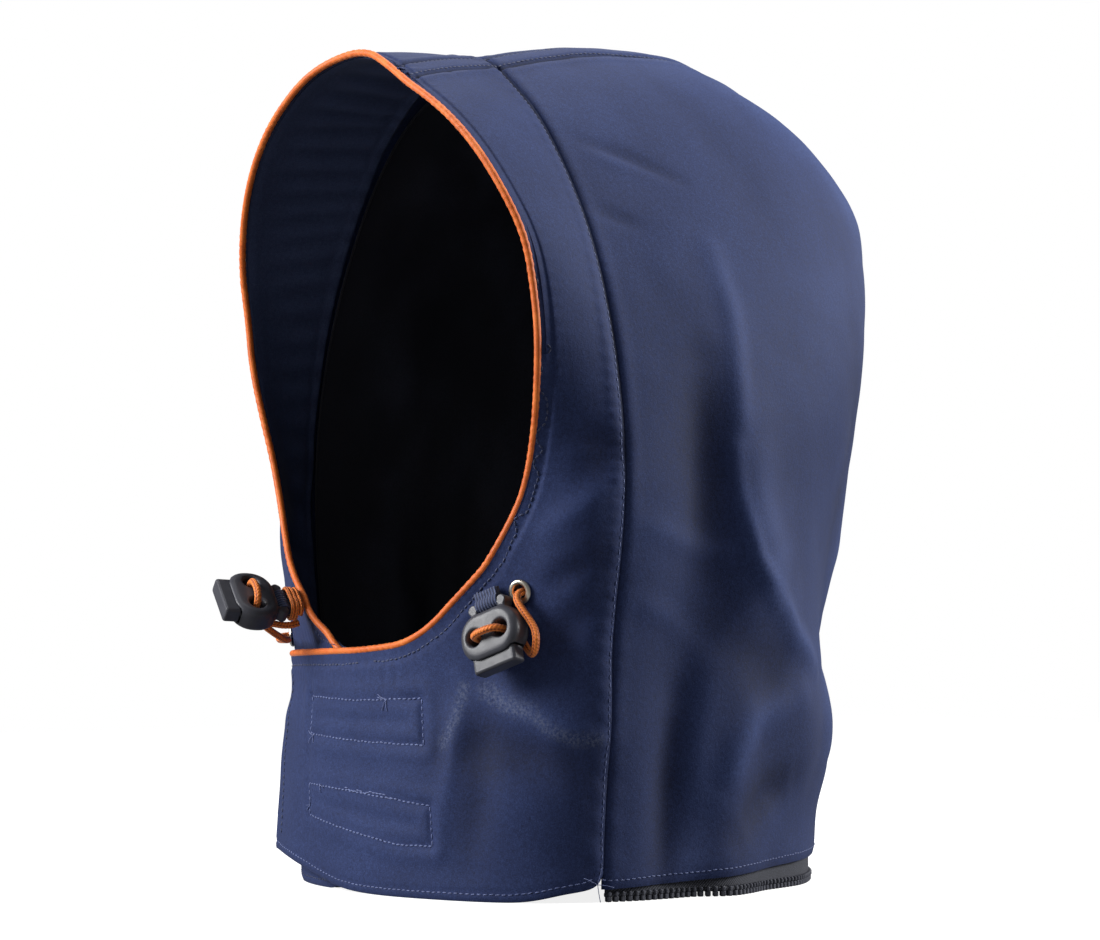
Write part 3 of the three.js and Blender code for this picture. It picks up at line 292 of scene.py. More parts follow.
# %% The outer wall of a node
HEAD_MIDDLE = Vector((-0.45, -1.4, 199.9)) * MM
SHELL = 1.8 * MM
HOLE_REACH = 5.7 * MM
SEAM_Y = -74.3 * MM


def outward(points):
    """Direction away from the hood's upright axis, and from the head's middle above it."""
    middle = np.array([[HEAD_MIDDLE.x, HEAD_MIDDLE.y, 0.0]]).repeat(len(points), axis=0)
    middle[:, 2] = np.minimum(points[:, 2], HEAD_MIDDLE.z)
    away = points - middle
    return away / np.linalg.norm(away, axis=1)[:, None]


def merged_copy(node):
    shape = bmesh.new()
    shape.from_mesh(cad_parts[node].data)
    bmesh.ops.remove_doubles(shape, verts=shape.verts, dist=1e-6)
    shape.normal_update()
    return shape


def outer_wall(node, hole=None):
    """The node's outer wall as squares; a drilled hole at a point is closed again."""
    shape = merged_copy(node)
    middles = np.array([face.calc_center_median() for face in shape.faces])
    normals = np.array([face.normal for face in shape.faces])
    lean = (outward(middles) * normals).sum(axis=1)
    shape.faces.ensure_lookup_table()
    hidden = [shape.faces[i] for i in np.flatnonzero(lean < 0.4)]
    bmesh.ops.delete(shape, geom=hidden, context="FACES")
    if hole is not None:
        near = [v for v in shape.verts if (v.co - hole).length < HOLE_REACH]
        ring = in_order(e for v in near for e in v.link_edges if e.is_boundary)
        bmesh.ops.holes_fill(shape, edges=ring, sides=0)
        bmesh.ops.dissolve_verts(shape, verts=near)
    bmesh.ops.join_triangles(shape, faces=shape.faces, angle_face_threshold=3.0, angle_shape_threshold=3.0)
    return shape


def rounded(shape, name, levels):
    """The shape as a mesh object, rounded by a subdivision surface that is applied."""
    holder = placed(name + "_rough", mesh_of(name + "_rough", shape))
    finer = holder.modifiers.new("round", "SUBSURF")
    finer.levels = levels
    finer.render_levels = levels
    finer.boundary_smooth = "PRESERVE_CORNERS"
    mesh = worked_out(holder)
    mesh.name = name
    return placed(name, mesh)


def points_of(piece):
    flat = np.empty(len(piece.data.vertices) * 3)
    piece.data.vertices.foreach_get("co", flat)
    return flat.reshape(-1, 3)


def set_points(piece, points):
    piece.data.vertices.foreach_set("co", points.ravel())
    piece.data.update()


def set_value(piece, name, values):
    attribute = piece.data.attributes.new(name, "FLOAT", "POINT")
    attribute.data.foreach_set("value", np.asarray(values, dtype=np.float32))


EYELET_LEFT = Vector((80.9, -102.5, 122.1)) * MM
EYELET_RIGHT = Vector((-99.5, -89.4, 103.8)) * MM
EYELETS = {
    "left": (EYELET_LEFT, Vector((0.3546, -0.9267, -0.1246))),
    "right": (EYELET_RIGHT, Vector((-0.7104, -0.7034, -0.0229))),
}
CLOTH = {
    "side_panel_left": (3, None),
    "side_panel_right": (3, None),
    "centre_strip": (3, None),
    "band_bridge": (4, None),
    "front_band_left": (4, EYELET_LEFT),
    "front_band_right": (4, EYELET_RIGHT),
}
cloth = {node: rounded(outer_wall(node, hole), "cloth_" + node, levels)
         for node, (levels, hole) in CLOTH.items()}
for node, piece in cloth.items():
    print(node, len(piece.data.polygons), "faces on one wall")

# %% [markdown]
# ## Folds
# Cloth that has been worn and packed never lies smooth. Sculpting by hand would do, but a short table is
# easier to correct: each fold is a line through a few points of the cloth, with a half width and a height.
# Points are millimetres on the wearer's left; the right side gets the same folds, moved a little and
# weaker, because nobody's two sides crease alike.

# %% Table of folds
FOLDS = [
    # name, half width, rise, on both sides, points along the fold
    ("long ridge, top", 6.0, 1.9, True, [(92, -14, 262), (104, -12, 234), (113, -15, 200), (114, -16, 180)]),
    ("long ridge, middle", 3.8, 2.4, True, [(114, -19, 180), (115, -16, 160), (116, -9, 136), (112, 3, 118)]),
    ("long ridge's body", 13.0, 2.0, True, [(114, -10, 190), (115, -7, 160), (115, 1, 136), (110, 13, 118)]),
    ("long ridge, foot", 6.0, 3.0, True, [(114, 0, 126), (104, 22, 104), (90, 44, 92)]),
    ("valley before the ridge", 11.0, -3.0, True, [(108, -32, 214), (110, -34, 186), (109, -33, 160),
                                                   (108, -30, 134)]),
    ("dent over the collar", 14.0, -3.2, True, [(107, -20, 112), (104, -2, 96), (98, 18, 86)]),
    ("stretch from the seam, first", 5.0, 1.0, True, [(110, -66, 150), (111, -44, 142), (112, -22, 138)]),
    ("stretch from the seam, second", 5.0, 1.1, True, [(108, -66, 118), (109, -48, 112), (108, -34, 100)]),
    ("foot valley", 7.0, -2.8, True, [(105, -42, 80), (103, -45, 50), (101, -47, 22), (100, -48, 4)]),
    ("foot ridge", 8.0, 1.8, True, [(104, -28, 92), (104, -31, 60), (103, -31, 16)]),
    ("roll over the hem", 8.0, 3.0, True, [(104, -20, 40), (107, -12, 56), (108, -2, 70), (100, 28, 80)]),
    ("hollow over the hem", 9.0, -3.8, True, [(104, -8, 24), (100, 10, 40), (92, 28, 46)]),
    ("fuller crown", 26.0, 3.4, True, [(12, 40, 352), (22, 80, 332), (28, 108, 308), (30, 125, 288),
                                       (40, 118, 262)]),
    ("fuller nape", 18.0, 2.2, True, [(52, 99, 180), (43, 100, 146), (41, 92, 110)]),
    ("roll at the back hem", 14.0, 4.2, True, [(76, 58, 92), (71, 65, 70), (64, 73, 50)]),
    ("crown top", 30.0, 1.1, False, [(9, -40, 351), (8, 30, 353)]),
    ("upper crease", 3.4, -1.3, True, [(66, -60, 305), (72, -38, 299), (78, -17, 291)]),
    ("upper crease's lip", 3.6, 0.8, True, [(70, -58, 300), (76, -38, 294)]),
    ("lower crease", 3.2, -1.1, True, [(84, -68, 275), (88, -48, 270)]),
    ("crown wave", 12.0, -1.2, True, [(40, 0, 348), (66, 16, 318), (84, 30, 280)]),
    ("back wave", 16.0, -2.0, True, [(70, 76, 226), (64, 92, 180), (58, 90, 130)]),
    ("back crease", 7.0, 1.6, True, [(40, 104, 150), (62, 88, 124), (80, 64, 108)]),
    ("back hem fold", 8.0, -2.0, True, [(48, 90, 20), (44, 98, 60), (30, 108, 92)]),
    ("band diamond", 7.0, -1.8, True, [(101, -92, 184), (107, -80, 178), (104, -90, 168)]),
    ("band ridge", 5.5, 1.5, True, [(94, -99, 146), (103, -88, 155), (110, -78, 164)]),
    ("band crease", 5.5, -1.6, True, [(92, -100, 124), (101, -90, 131), (110, -76, 140)]),
    ("band crease, low", 6.5, -1.5, True, [(84, -100, 92), (97, -91, 108), (107, -76, 126)]),
    ("roll under the lock", 6.0, 1.6, True, [(62, -108, 80), (83, -99, 74), (92, -93, 68), (101, -79, 64)]),
    ("hollow in the band", 10.0, -2.8, False, [(49, -115, 60), (66, -108, 60), (84, -98, 57), (99, -78, 50)]),
    ("bend of the flap", 4.5, 1.1, False, [(52, -112, 88), (53, -113, 66), (50, -116, 44), (48, -117, 20)]),
    ("dip beside the bend", 8.0, -1.6, False, [(64, -108, 88), (64, -110, 40), (60, -112, 14)]),
    ("flap dent", 3.0, -0.7, False, [(-3, -120, 76), (-4, -120, 58)]),
    ("ripple one", 1.8, -0.45, False, [(-20, -119, 92), (-20, -119, 81)]),
    ("ripple two", 1.7, -0.5, False, [(-12, -120, 93), (-12, -120, 81)]),
    ("ripple three", 1.6, -0.5, False, [(-3, -120, 93), (-3, -120, 80)]),
    ("ripple four", 1.6, -0.5, False, [(6, -120, 94), (6, -120, 80)]),
    ("ripple five", 1.6, -0.5, False, [(14, -120, 94), (14, -120, 81)]),
    ("ripple six", 1.8, -0.45, False, [(21, -119, 95), (21, -119, 82)]),
]


def along_line(points, line):
    """Each point's distance to a line of points, and its place along it from 0 to 1."""
    best = np.full(len(points), 1e9)
    place = np.zeros(len(points))
    for i in range(len(line) - 1):
        start = np.array(line[i])
        way = np.array(line[i + 1]) - start
        if way @ way < 1e-14:
            continue
        t = np.clip(((points - start) @ way) / (way @ way), 0, 1)
        away = np.linalg.norm(points - (start + t[:, None] * way), axis=1)
        nearer = away < best
        best = np.where(nearer, away, best)
        place = np.where(nearer, (i + t) / (len(line) - 1), place)
    return best, place


def both_sides(table):
    """The table's folds as lines in metres, with the moved and weaker copies on the wearer's right."""
    lines = []
    for name, half, rise, both, line in table:
        spot = np.array(line, dtype=float) * MM
        lines.append((half * MM, rise * MM, spot))
        if both:
            shift = np.array([random.uniform(-4, 4) for _ in range(3)]) * MM
            lines.append((half * MM, rise * MM * random.uniform(0.6, 0.95), spot * (-1, 1, 1) + shift))
    return lines


FOLD_LINES = both_sides(FOLDS)


def fold_height(points):
    """How far the folds of the table lift the cloth at each point."""
    lift = np.zeros(len(points))
    for half, rise, line in FOLD_LINES:
        away, place = along_line(points, line)
        ends = np.sin(np.clip(place, 0.06, 0.94) * math.pi) ** 0.5
        lift += rise * ends * np.exp(-(away / half) ** 2)
    return lift


def uneven(points, size, seed):
    """Smooth random height from -1 to 1, with swells of the given size."""
    place = Vector((seed, seed * 0.7, -seed))
    return np.array([noise.noise(Vector(p) / size + place) for p in points])


print(len(FOLDS), "folds in the table")

# %% [markdown]
# ## Seams
# A seam pulls the cloth down in a narrow groove, and its thread gathers small ripples on both sides. Lines
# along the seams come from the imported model: the piping's own middle line gives the opening's edge, and
# the strip's middle row of points gives the strip's line.

# %% Lines along the seams


def middle_line(node):
    """The middle line of a round node: the middle of each ring of its points, from one end to the other."""
    shape = merged_copy(node)
    bmesh.ops.dissolve_limit(shape, angle_limit=0.002, verts=shape.verts, edges=shape.edges)
    end = min(shape.faces, key=lambda face: -len(face.verts))
    ring = list(end.verts)
    seen = set(ring)
    line = []
    while ring:
        line.append(sum((v.co for v in ring), Vector()) / len(ring))
        step = in_order(e.other_vert(v) for v in ring for e in v.link_edges)
        ring = [v for v in step if v not in seen]
        seen.update(ring)
    shape.free()
    return line


def resampled(line, step):
    """The line as a smooth curve's points, a step apart."""
    points = [Vector(p) for p in line]
    fine = []
    for i in range(len(points) - 1):
        a = points[max(i - 1, 0)]
        b, c = points[i], points[i + 1]
        d = points[min(i + 2, len(points) - 1)]
        for k in range(8):
            t = k / 8
            fine.append(0.5 * (2 * b + (c - a) * t + (2 * a - 5 * b + 4 * c - d) * t * t
                               + (3 * b - a - 3 * c + d) * t ** 3))
    fine.append(points[-1])
    marks = np.concatenate([[0], np.cumsum([(q - p).length for p, q in zip(fine, fine[1:])])])
    count = max(2, round(marks[-1] / step))
    wanted = np.linspace(0, marks[-1], count + 1)
    table = np.array(fine)
    return [Vector(p) for p in np.stack([np.interp(wanted, marks, table[:, k]) for k in range(3)], axis=1)]


def ease(values, low, high):
    t = np.clip((values - low) / (high - low), 0, 1)
    return t * t * (3 - 2 * t)


def line_length(line):
    return sum((q - p).length for p, q in zip(line, line[1:]))


TUCK_DEPTH = 5.5 * MM
TUCK_RUN = (2 * MM, 20 * MM)


def tucked(line):
    """Lowers the end of the piping that goes down behind the flap."""
    ahead = line if abs(line[-1].x) < abs(line[0].x) else line[::-1]
    run = 0.0
    for i in range(len(ahead) - 1, 0, -1):
        step = (ahead[i] - ahead[i - 1]).length
        ahead[i].z -= TUCK_DEPTH * (1 - float(ease(run, *TUCK_RUN)))
        run += step
    return line


piping_line = tucked(resampled(middle_line("face_piping"), 2 * MM))
print("piping", len(piping_line), "points,", round(line_length(piping_line) / MM), "mm")


def inner_row(node):
    """The middle row of points of a narrow node's outer wall, in order."""
    shape = outer_wall(node)
    row = [v for v in shape.verts if not v.is_boundary]
    row.sort(key=lambda v: (v.co.y - v.co.z * 0.8 if v.co.y < 60 * MM else 1 - v.co.z))
    found = [v.co.copy() for v in row]
    shape.free()
    return found


strip_line = inner_row("centre_strip")
bridge_line = inner_row("band_bridge")
print("strip", [tuple(round(c / MM) for c in p) for p in strip_line[::5]])
print("bridge", [tuple(round(c / MM) for c in p) for p in bridge_line])


# %% [markdown]
# ## Relief of the cloth
# Everything that moves the cloth is one height at each point, added along the direction out of the hood:
# folds from the table, a little unevenness, grooves at the seams, the dip and ripples at the topstitching,
# and the tape boxes of the flap. Neighbouring pieces read the same height, so their edges still meet.

# %% Heights of seams and stitching
STRIP_HALF = 5.5 * MM
EDGE_STITCH = 5.6 * MM
HEM_STITCH = 3.4 * MM
PIPING_RADIUS = 1.45 * MM
PIPING_GAP = 0.1 * MM
FLAP_BOXES = [
    # corners of the two sewn boxes that hold the closing tape, on the flap's face
    [(-44, -117, 79), (-4, -120, 78), (35, -118, 79.5), (38, -119, 61), (0, -121, 61.5), (-37, -119, 63),
     (-42, -117, 64), (-44, -117, 79)],
    [(-41, -117, 43), (-10, -120, 41.5), (22, -120, 39), (42, -118, 37), (43.5, -118, 21), (24, -120, 21),
     (-6, -120, 25), (-40, -117, 30), (-41, -117, 43)],
]
strip_all = resampled([*bridge_line, *strip_line], 8 * MM)
BOX_LINES = [[Vector(p) * MM for p in box] for box in FLAP_BOXES]
coarse_piping = piping_line[::2] + [piping_line[-1]]


def dip(away, width):
    return np.exp(-(away / width) ** 2)


def seam_height(points):
    """Grooves at the seams, with the small ripples that the thread gathers beside them."""
    lift = np.zeros(len(points))
    upper = 0.45 + 0.55 * ease(points[:, 2], 120 * MM, 230 * MM)
    from_seam = np.abs(points[:, 1] - SEAM_Y)
    lift -= (1.5 * dip(from_seam, 1.5 * MM) - 0.45 * dip(from_seam - 4.5 * MM, 2.5 * MM)) * MM * upper
    round_seam = np.arctan2(points[:, 2] - 170 * MM, np.abs(points[:, 0])) * 130 * MM
    gather = np.sin(round_seam / (6.5 * MM) * 2 * math.pi + 2.2 * np.sin(round_seam / (23 * MM)))
    lift += 0.16 * MM * gather * dip(from_seam - 4 * MM, 4 * MM)
    from_strip = along_line(points, strip_all)[0]
    lift -= 1.9 * MM * dip(from_strip - STRIP_HALF, 1.4 * MM)
    lift += 0.7 * MM * (1 - ease(from_strip, 7.5 * MM, 12 * MM))
    return lift


def seam_shade_depth(points):
    """How far each point lies in a seam's groove, from 0 to 1, for the painted shade in the grooves."""
    upper = 0.3 + 0.7 * ease(points[:, 2], 120 * MM, 230 * MM)
    from_strip = along_line(points, strip_all)[0]
    across = dip(np.abs(points[:, 1] - SEAM_Y), 1.0 * MM) * upper
    return np.clip(np.maximum(across, dip(from_strip - STRIP_HALF, 1.0 * MM)), 0, 1)


def opening_height(points):
    """The edge dips at the topstitching and ripples beside it."""
    from_edge, place = along_line(points, coarse_piping)
    run = place * line_length(piping_line)
    lift = -0.8 * MM * dip(from_edge - EDGE_STITCH, 1.1 * MM)
    lift += 0.22 * MM * dip(from_edge - EDGE_STITCH + 2.4 * MM, 1.3 * MM)
    waves = np.sin(run / (5.4 * MM) * 2 * math.pi + 2.5 * np.sin(run / (31 * MM)))
    lift += 0.14 * MM * waves * dip(from_edge - 7 * MM, 4 * MM)
    return lift


def nearest_on(points, line):
    """The nearest point of a line to each point."""
    table = np.array([tuple(p) for p in line])
    marks = along_line(points, line)[1] * (len(table) - 1)
    return np.stack([np.interp(marks, np.arange(len(table)), table[:, k]) for k in range(3)], axis=1)


def to_piping(points):
    """The way that draws the cloth's edge up to the piping, until only a gap is left between them."""
    way = nearest_on(points, coarse_piping) - points
    away = np.linalg.norm(way, axis=1)
    way /= away[:, None]
    return way * ((away - PIPING_RADIUS - PIPING_GAP) * (1 - ease(away, 2.6 * MM, 6 * MM)))[:, None]


def flap_height(points):
    """The sewn boxes of the flap: a groove along each row, and the cloth puffed between them."""
    lift = np.zeros(len(points))
    front = ease(-points[:, 1], 104 * MM, 110 * MM)
    for box in BOX_LINES:
        away = along_line(points, box)[0]
        lift -= front * MM * (0.8 * dip(away, 1.3 * MM) - 0.55 * dip(away - 4.5 * MM, 3 * MM))
    left_side = [Vector((-44, -117, 84)) * MM, Vector((-41, -117, 24)) * MM]
    lift -= 0.9 * MM * dip(along_line(points, left_side)[0], 2.6 * MM)
    return lift


def cloth_height(points):
    """All heights of the outer cloth, and the part of it that folds make, for the finish."""
    folds = fold_height(points)
    swell = 0.55 * MM * uneven(points, 42 * MM, 3.1) + 0.22 * MM * uneven(points, 15 * MM, 8.4)
    edge = along_line(points, coarse_piping)[0]
    calm = ease(edge, 2 * MM, 16 * MM)
    for centre in (EYELET_LEFT, EYELET_RIGHT):
        calm *= ease(np.linalg.norm(points - np.array(centre), axis=1), 4 * MM, 14 * MM)
    return (folds + swell) * calm + seam_height(points), (folds + swell) * calm


# %% [markdown]
# ## Hem lines
# The lower border of each cloth piece is the hem. Its points, in order round the hood, give the row of hem
# stitches and the edge that turns in.

# %% Border lines of the cloth


def hem_line(piece, lowest=24 * MM):
    """The lower border of a piece, in order round the hood."""
    shape = bmesh.new()
    shape.from_mesh(piece.data)
    row = []
    for edge in shape.edges:
        way = edge.verts[0].co - edge.verts[1].co
        middle = (edge.verts[0].co + edge.verts[1].co) / 2
        if edge.is_boundary and middle.z < lowest and abs(way.z) < 0.6 * way.length:
            row.append(middle)
    shape.free()
    return sorted(row, key=lambda p: math.atan2(p.x, -p.y))


hems = {name: hem_line(cloth[name]) for name in
        ("side_panel_left", "side_panel_right", "front_band_left", "front_band_right")}
for name, line in hems.items():
    print(name, "hem", round(line_length(line) / MM), "mm,", len(line), "points")


def hem_height(points, line):
    """The hem's edge turns in and its topstitching dips."""
    away = along_line(points, line[::3] + [line[-1]])[0]
    return (-0.7 * dip(away, 1.2 * MM) - 0.35 * dip(away - HEM_STITCH, 1.0 * MM)) * MM


# %% [markdown]
# ## Dressing the cloth
# Each wall is moved by its heights, and its edge is drawn up to the piping. The strip is made a little
# wider and the borders at the band seam move together, so that no gap shows between two pieces. Then the
# eyelets' holes are opened, and Solidify and a small Bevel turn the wall into cloth with a soft edge.

# %% Shape the outer cloth
STRIP_WIDER = 0.06
BORDER_SHIFT = 0.13 * MM
EYELET_HOLE = 3.9 * MM
SCUFFS_AND_HIGHLIGHTS = [
    # half width and points of the paler chalky patches below the near lock, part rubbed wear and part painted
    # highlight on the folds' ridges there
    (3.2, [(54, -110, 84), (52, -113, 72), (48, -116, 62)]),
    (4.6, [(64, -107, 83), (72, -103, 78), (83, -100, 75)]),
    (3.4, [(83, -100, 75), (91, -96, 68), (96, -88, 64), (101, -79, 64)]),
    (2.4, [(94, -94, 33), (97, -90, 27)]),
]


def finish_cloth(piece, thickness, bevel=0.35 * MM):
    """Thickness and a softly rounded edge for a wall of cloth."""
    piece.data.polygons.foreach_set("use_smooth", [True] * len(piece.data.polygons))
    wall = piece.modifiers.new("thickness", "SOLIDIFY")
    wall.thickness = thickness
    wall.offset = -1
    edge = piece.modifiers.new("soft_edge", "BEVEL")
    edge.width = bevel
    edge.segments = 2
    edge.limit_method = "ANGLE"
    edge.angle_limit = math.radians(50)


def drill(piece, centre, normal, radius):
    """Opens the cloth round an eyelet's axis, under the eyelet's rim."""
    shape = bmesh.new()
    shape.from_mesh(piece.data)
    inside = []
    for face in shape.faces:
        way = face.calc_center_median() - centre
        along = way.dot(normal)
        if abs(along) < 12 * MM and (way - normal * along).length < radius:
            inside.append(face)
    bmesh.ops.delete(shape, geom=inside, context="FACES")
    shape.to_mesh(piece.data)
    shape.free()


for node, piece in cloth.items():
    points = points_of(piece)
    lift, folds = cloth_height(points)
    if "band" in node:
        lift += opening_height(points)
    if node == "front_band_left":
        lift += flap_height(points)
    if node in hems:
        lift += hem_height(points, hems[node])
    # the patches below the near lock, part rubbed wear and part painted highlight
    dust_and_highlight = np.zeros(len(points))
    if node == "front_band_left":
        for half, line in SCUFFS_AND_HIGHLIGHTS:
            away = along_line(points, [Vector(p) * MM for p in line])[0]
            dust_and_highlight = np.maximum(dust_and_highlight, dip(away, half * MM))
    set_value(piece, "rise", np.clip(folds / (2.5 * MM), -1, 1))
    set_value(piece, "scuff", dust_and_highlight)
    set_value(piece, "crease", seam_shade_depth(points))
    points = points + outward(points) * lift[:, None]
    if "band" in node:
        points = points + to_piping(points)
    if node in ("centre_strip", "band_bridge"):
        points = points + (points - nearest_on(points, strip_all)) * (1, 0.2, 0.2) * STRIP_WIDER
    else:
        past_seam = points[:, 1] - SEAM_Y
        points[:, 1] -= BORDER_SHIFT * np.sign(past_seam) * dip(past_seam, 0.7 * MM)
    set_points(piece, points)


def skin_of(*pieces):
    """A search tree of the outer faces of some pieces."""
    starts = np.cumsum([0] + [len(piece.data.vertices) for piece in pieces])
    return BVHTree.FromPolygons(
        [tuple(p) for piece in pieces for p in points_of(piece)],
        [[v + start for v in face.vertices] for piece, start in zip(pieces, starts)
         for face in piece.data.polygons])


whole_skin = skin_of(*cloth.values())
flap_skin = skin_of(cloth["front_band_left"])

for node, piece in cloth.items():
    if CLOTH[node][1] is not None:
        drill(piece, *EYELETS[node.split("_")[-1]], EYELET_HOLE)
    finish_cloth(piece, SHELL)
    settle(piece, navy_cloth, node)
    print(piece.name, len(piece.data.polygons), "faces before thickness")


# %% [markdown]
# ## Facing and lining
# Inside the edge runs a navy facing, gathered by the draw cord, and behind it hangs a smooth black lining.
# Both are made as the outer cloth is. The facing follows the band's folds and adds gathers that run away
# from the edge; the lining hangs in loose swells.

# %% Facing and lining
INNER_CLOTH, INNER_EDGE = 1.0 * MM, 0.2 * MM
LINING_BLACK = [linear(14, 15, 20), linear(33, 34, 43), linear(64, 67, 82)]


def smooth_lining():
    material, shader, wire = start_material("black_lining", roughness=0.5, Sheen_Weight=0.1,
                                            Sheen_Roughness=0.3, Specular_IOR_Level=0.35)
    where = object_place(wire)
    threads = grain(wire, where, 1500, 1.0)
    patch = grain(wire, where, 30, 3.0)
    rise = kept_value(wire, "rise")
    # the lining is painted lighter where it swells in towards the head and darker between: painted light and
    # shade
    tone = 0.35 + (patch - 0.5) * 0.5 + (threads - 0.5) * 0.35 + rise * 0.3
    stops = list(zip((0.0, 0.5, 1.0), LINING_BLACK))
    wire.feed(shader.inputs["Base Color"], ramp(wire, tone, stops))
    wire.feed(shader.inputs["Roughness"], 0.5 + (patch - 0.5) * 0.25)
    raise_bump(wire, shader, threads, 0.00008, 0.4)
    return material


black_lining = smooth_lining()
FACING_HOLES = {"facing_left": EYELET_LEFT, "facing_right": EYELET_RIGHT, "facing_bridge": None}
for node, hole in FACING_HOLES.items():
    piece = rounded(outer_wall(node, hole), "cloth_" + node, 3)
    points = points_of(piece)
    away, place = along_line(points, coarse_piping)
    run = place * line_length(piping_line)
    lift, folds = cloth_height(points)
    gathers = np.sin(run / (13 * MM) * 2 * math.pi + 3 * np.sin(run / (47 * MM)))
    gathers = -1.3 * MM * (0.5 + 0.5 * gathers) * ease(away, 6 * MM, 24 * MM)
    lift = np.minimum(lift, 0) - 0.25 * MM
    calm = ease(np.abs(points[:, 1] - SEAM_Y), 0.5 * MM, 7 * MM)
    lift += gathers * calm
    # the gathers paint the facing lighter where they swell in and darker between: painted light and shade
    set_value(piece, "rise", np.clip(-gathers / (1.5 * MM), -1, 1))
    set_value(piece, "scuff", np.zeros(len(points)))
    points = points + outward(points) * lift[:, None]
    set_points(piece, points + to_piping(points))
    finish_cloth(piece, INNER_CLOTH, INNER_EDGE)
    settle(piece, navy_facing, node)

lining = rounded(outer_wall("lining"), "cloth_lining", 3)
points = points_of(lining)
swells = uneven(points * (1, 1, 0.45), 30 * MM, 5.2) + 0.5 * uneven(points * (1, 1, 0.6), 13 * MM, 1.7)
free = ease(points[:, 1] - SEAM_Y, 2 * MM, 26 * MM)
low_edge = ease(points[:, 2], 24 * MM, 60 * MM)
swells = -2.6 * MM * (0.5 + 0.5 * np.clip(swells * 1.6, -1, 1)) * free * (0.3 + 0.7 * low_edge)
# the swells paint the lining lighter where it bulges in: painted light and shade
set_value(lining, "rise", np.clip(-swells / (2.6 * MM), 0, 1))
set_points(lining, points + outward(points) * swells[:, None])
finish_cloth(lining, INNER_CLOTH, INNER_EDGE)
settle(lining, black_lining, "lining")
print("lining", len(lining.data.polygons), "faces")

# %% [markdown]
# ## Round cords
# Piping, draw cords and the wound cord are all tubes along a line. A curve with a round bevel makes the
# tube and its map, whose first axis is then scaled to metres along the cord, so that a weave keeps its size
# on every cord.


# %% Tubes along a line
def tube(name, line, radius, sides=12, shape=None):
    """A closed tube along a line. shape(run, turn) gives the radius's share at metres along and turns."""
    curve = bpy.data.curves.new(name, "CURVE")
    curve.dimensions = "3D"
    curve.bevel_depth = radius
    curve.bevel_resolution = (sides - 4) // 2
    spline = curve.splines.new("POLY")
    spline.points.add(len(line) - 1)
    for point, place in zip(spline.points, line):
        point.co = (*place, 1)
    mesh = worked_out(placed(name + "_line", curve))
    mesh.name = name
    piece = placed(name, mesh)
    length = line_length(line)
    rings = points_of(piece).reshape(len(line), sides, 3)
    if shape is not None:
        middle = rings.mean(axis=1, keepdims=True)
        run = np.linspace(0, length, len(line))[:, None]
        turn = np.arange(sides)[None, :] / sides
        rings = middle + (rings - middle) * shape(run, turn)[:, :, None]
        set_points(piece, rings.reshape(-1, 3))
    for corner in mesh.uv_layers[0].data:
        corner.uv.x *= length
    closed = bmesh.new()
    closed.from_mesh(mesh)
    bmesh.ops.holes_fill(closed, edges=closed.edges, sides=sides)
    closed.to_mesh(mesh)
    closed.free()
    mesh.polygons.foreach_set("use_smooth", [True] * len(mesh.polygons))
    return piece


# %% [markdown]
# ## Piping
# The orange piping is a thin cord in a folded strip of the same orange cloth. The strip is cut on the
# slant, so it puckers in small slanted ridges as it goes round the curve. The ridges are real relief on
# the tube; the weave is bump.

# %% Piping
ORANGE_DEEP = linear(166, 70, 10)
ORANGE_MID = linear(218, 102, 22)
ORANGE_PALE = linear(248, 146, 62)


def orange_cloth():
    material, shader, wire = start_material("orange_piping_cloth", roughness=0.62, Sheen_Weight=0.15,
                                            Sheen_Roughness=0.4)
    run, turn = axes(wire.node("ShaderNodeUVMap", {"uv_map": "UVMap"}))[:2]
    where = object_place(wire)
    weave = ((run * 9000 + turn * 40).sine() * (run * 9000 - turn * 40).sine()) * 0.5 + 0.5
    patch = grain(wire, where, 160, 3.0)
    speck = grain(wire, where, 1700, 1.0)
    tone = 0.5 + (patch - 0.5) * 0.9 + (speck - 0.5) * 0.5 + (weave - 0.5) * 0.16
    stops = [(0.0, ORANGE_DEEP), (0.5, ORANGE_MID), (1.0, ORANGE_PALE)]
    wire.feed(shader.inputs["Base Color"], ramp(wire, tone, stops))
    wire.feed(shader.inputs["Roughness"], 0.55 + (patch - 0.5) * 0.3)
    raise_bump(wire, shader, weave * 0.5 + speck * 0.5, 0.00012, 0.6)
    return material


orange_piping = orange_cloth()


def puckered(run, turn):
    slant = run / (3.6 * MM) + turn + 0.35 * np.sin(run / (19 * MM))
    gathers = np.sin(2 * math.pi * slant) + 0.5 * np.sin(2 * math.pi * (run / (2.1 * MM) - turn * 2) + 1)
    return 1 + 0.065 * gathers * (0.65 + 0.35 * np.sin(run / (11 * MM)))


fine_piping = resampled(piping_line[::4] + [piping_line[-1]], 0.65 * MM)
piping = tube("piping", fine_piping, PIPING_RADIUS, 14, puckered)
settle(piping, orange_piping, "face_piping")
print("piping", len(piping.data.polygons), "faces")

# %% [markdown]
# ## Stitches
# Each stitch is a short thread that goes down into the cloth at both ends. A small sphere of few faces,
# stretched along the row, gives that shape. A row is a line laid on the cloth, and the stitches of all
# rows of one thread are one piece.


# %% Rows of stitches
def on_cloth(point, skin=whole_skin):
    """The nearest point of the outer cloth and the direction out of it."""
    place, normal = skin.find_nearest(point)[:2]
    if normal.dot(Vector(outward(np.array([place]))[0])) < 0:
        normal = -normal
    return place, normal


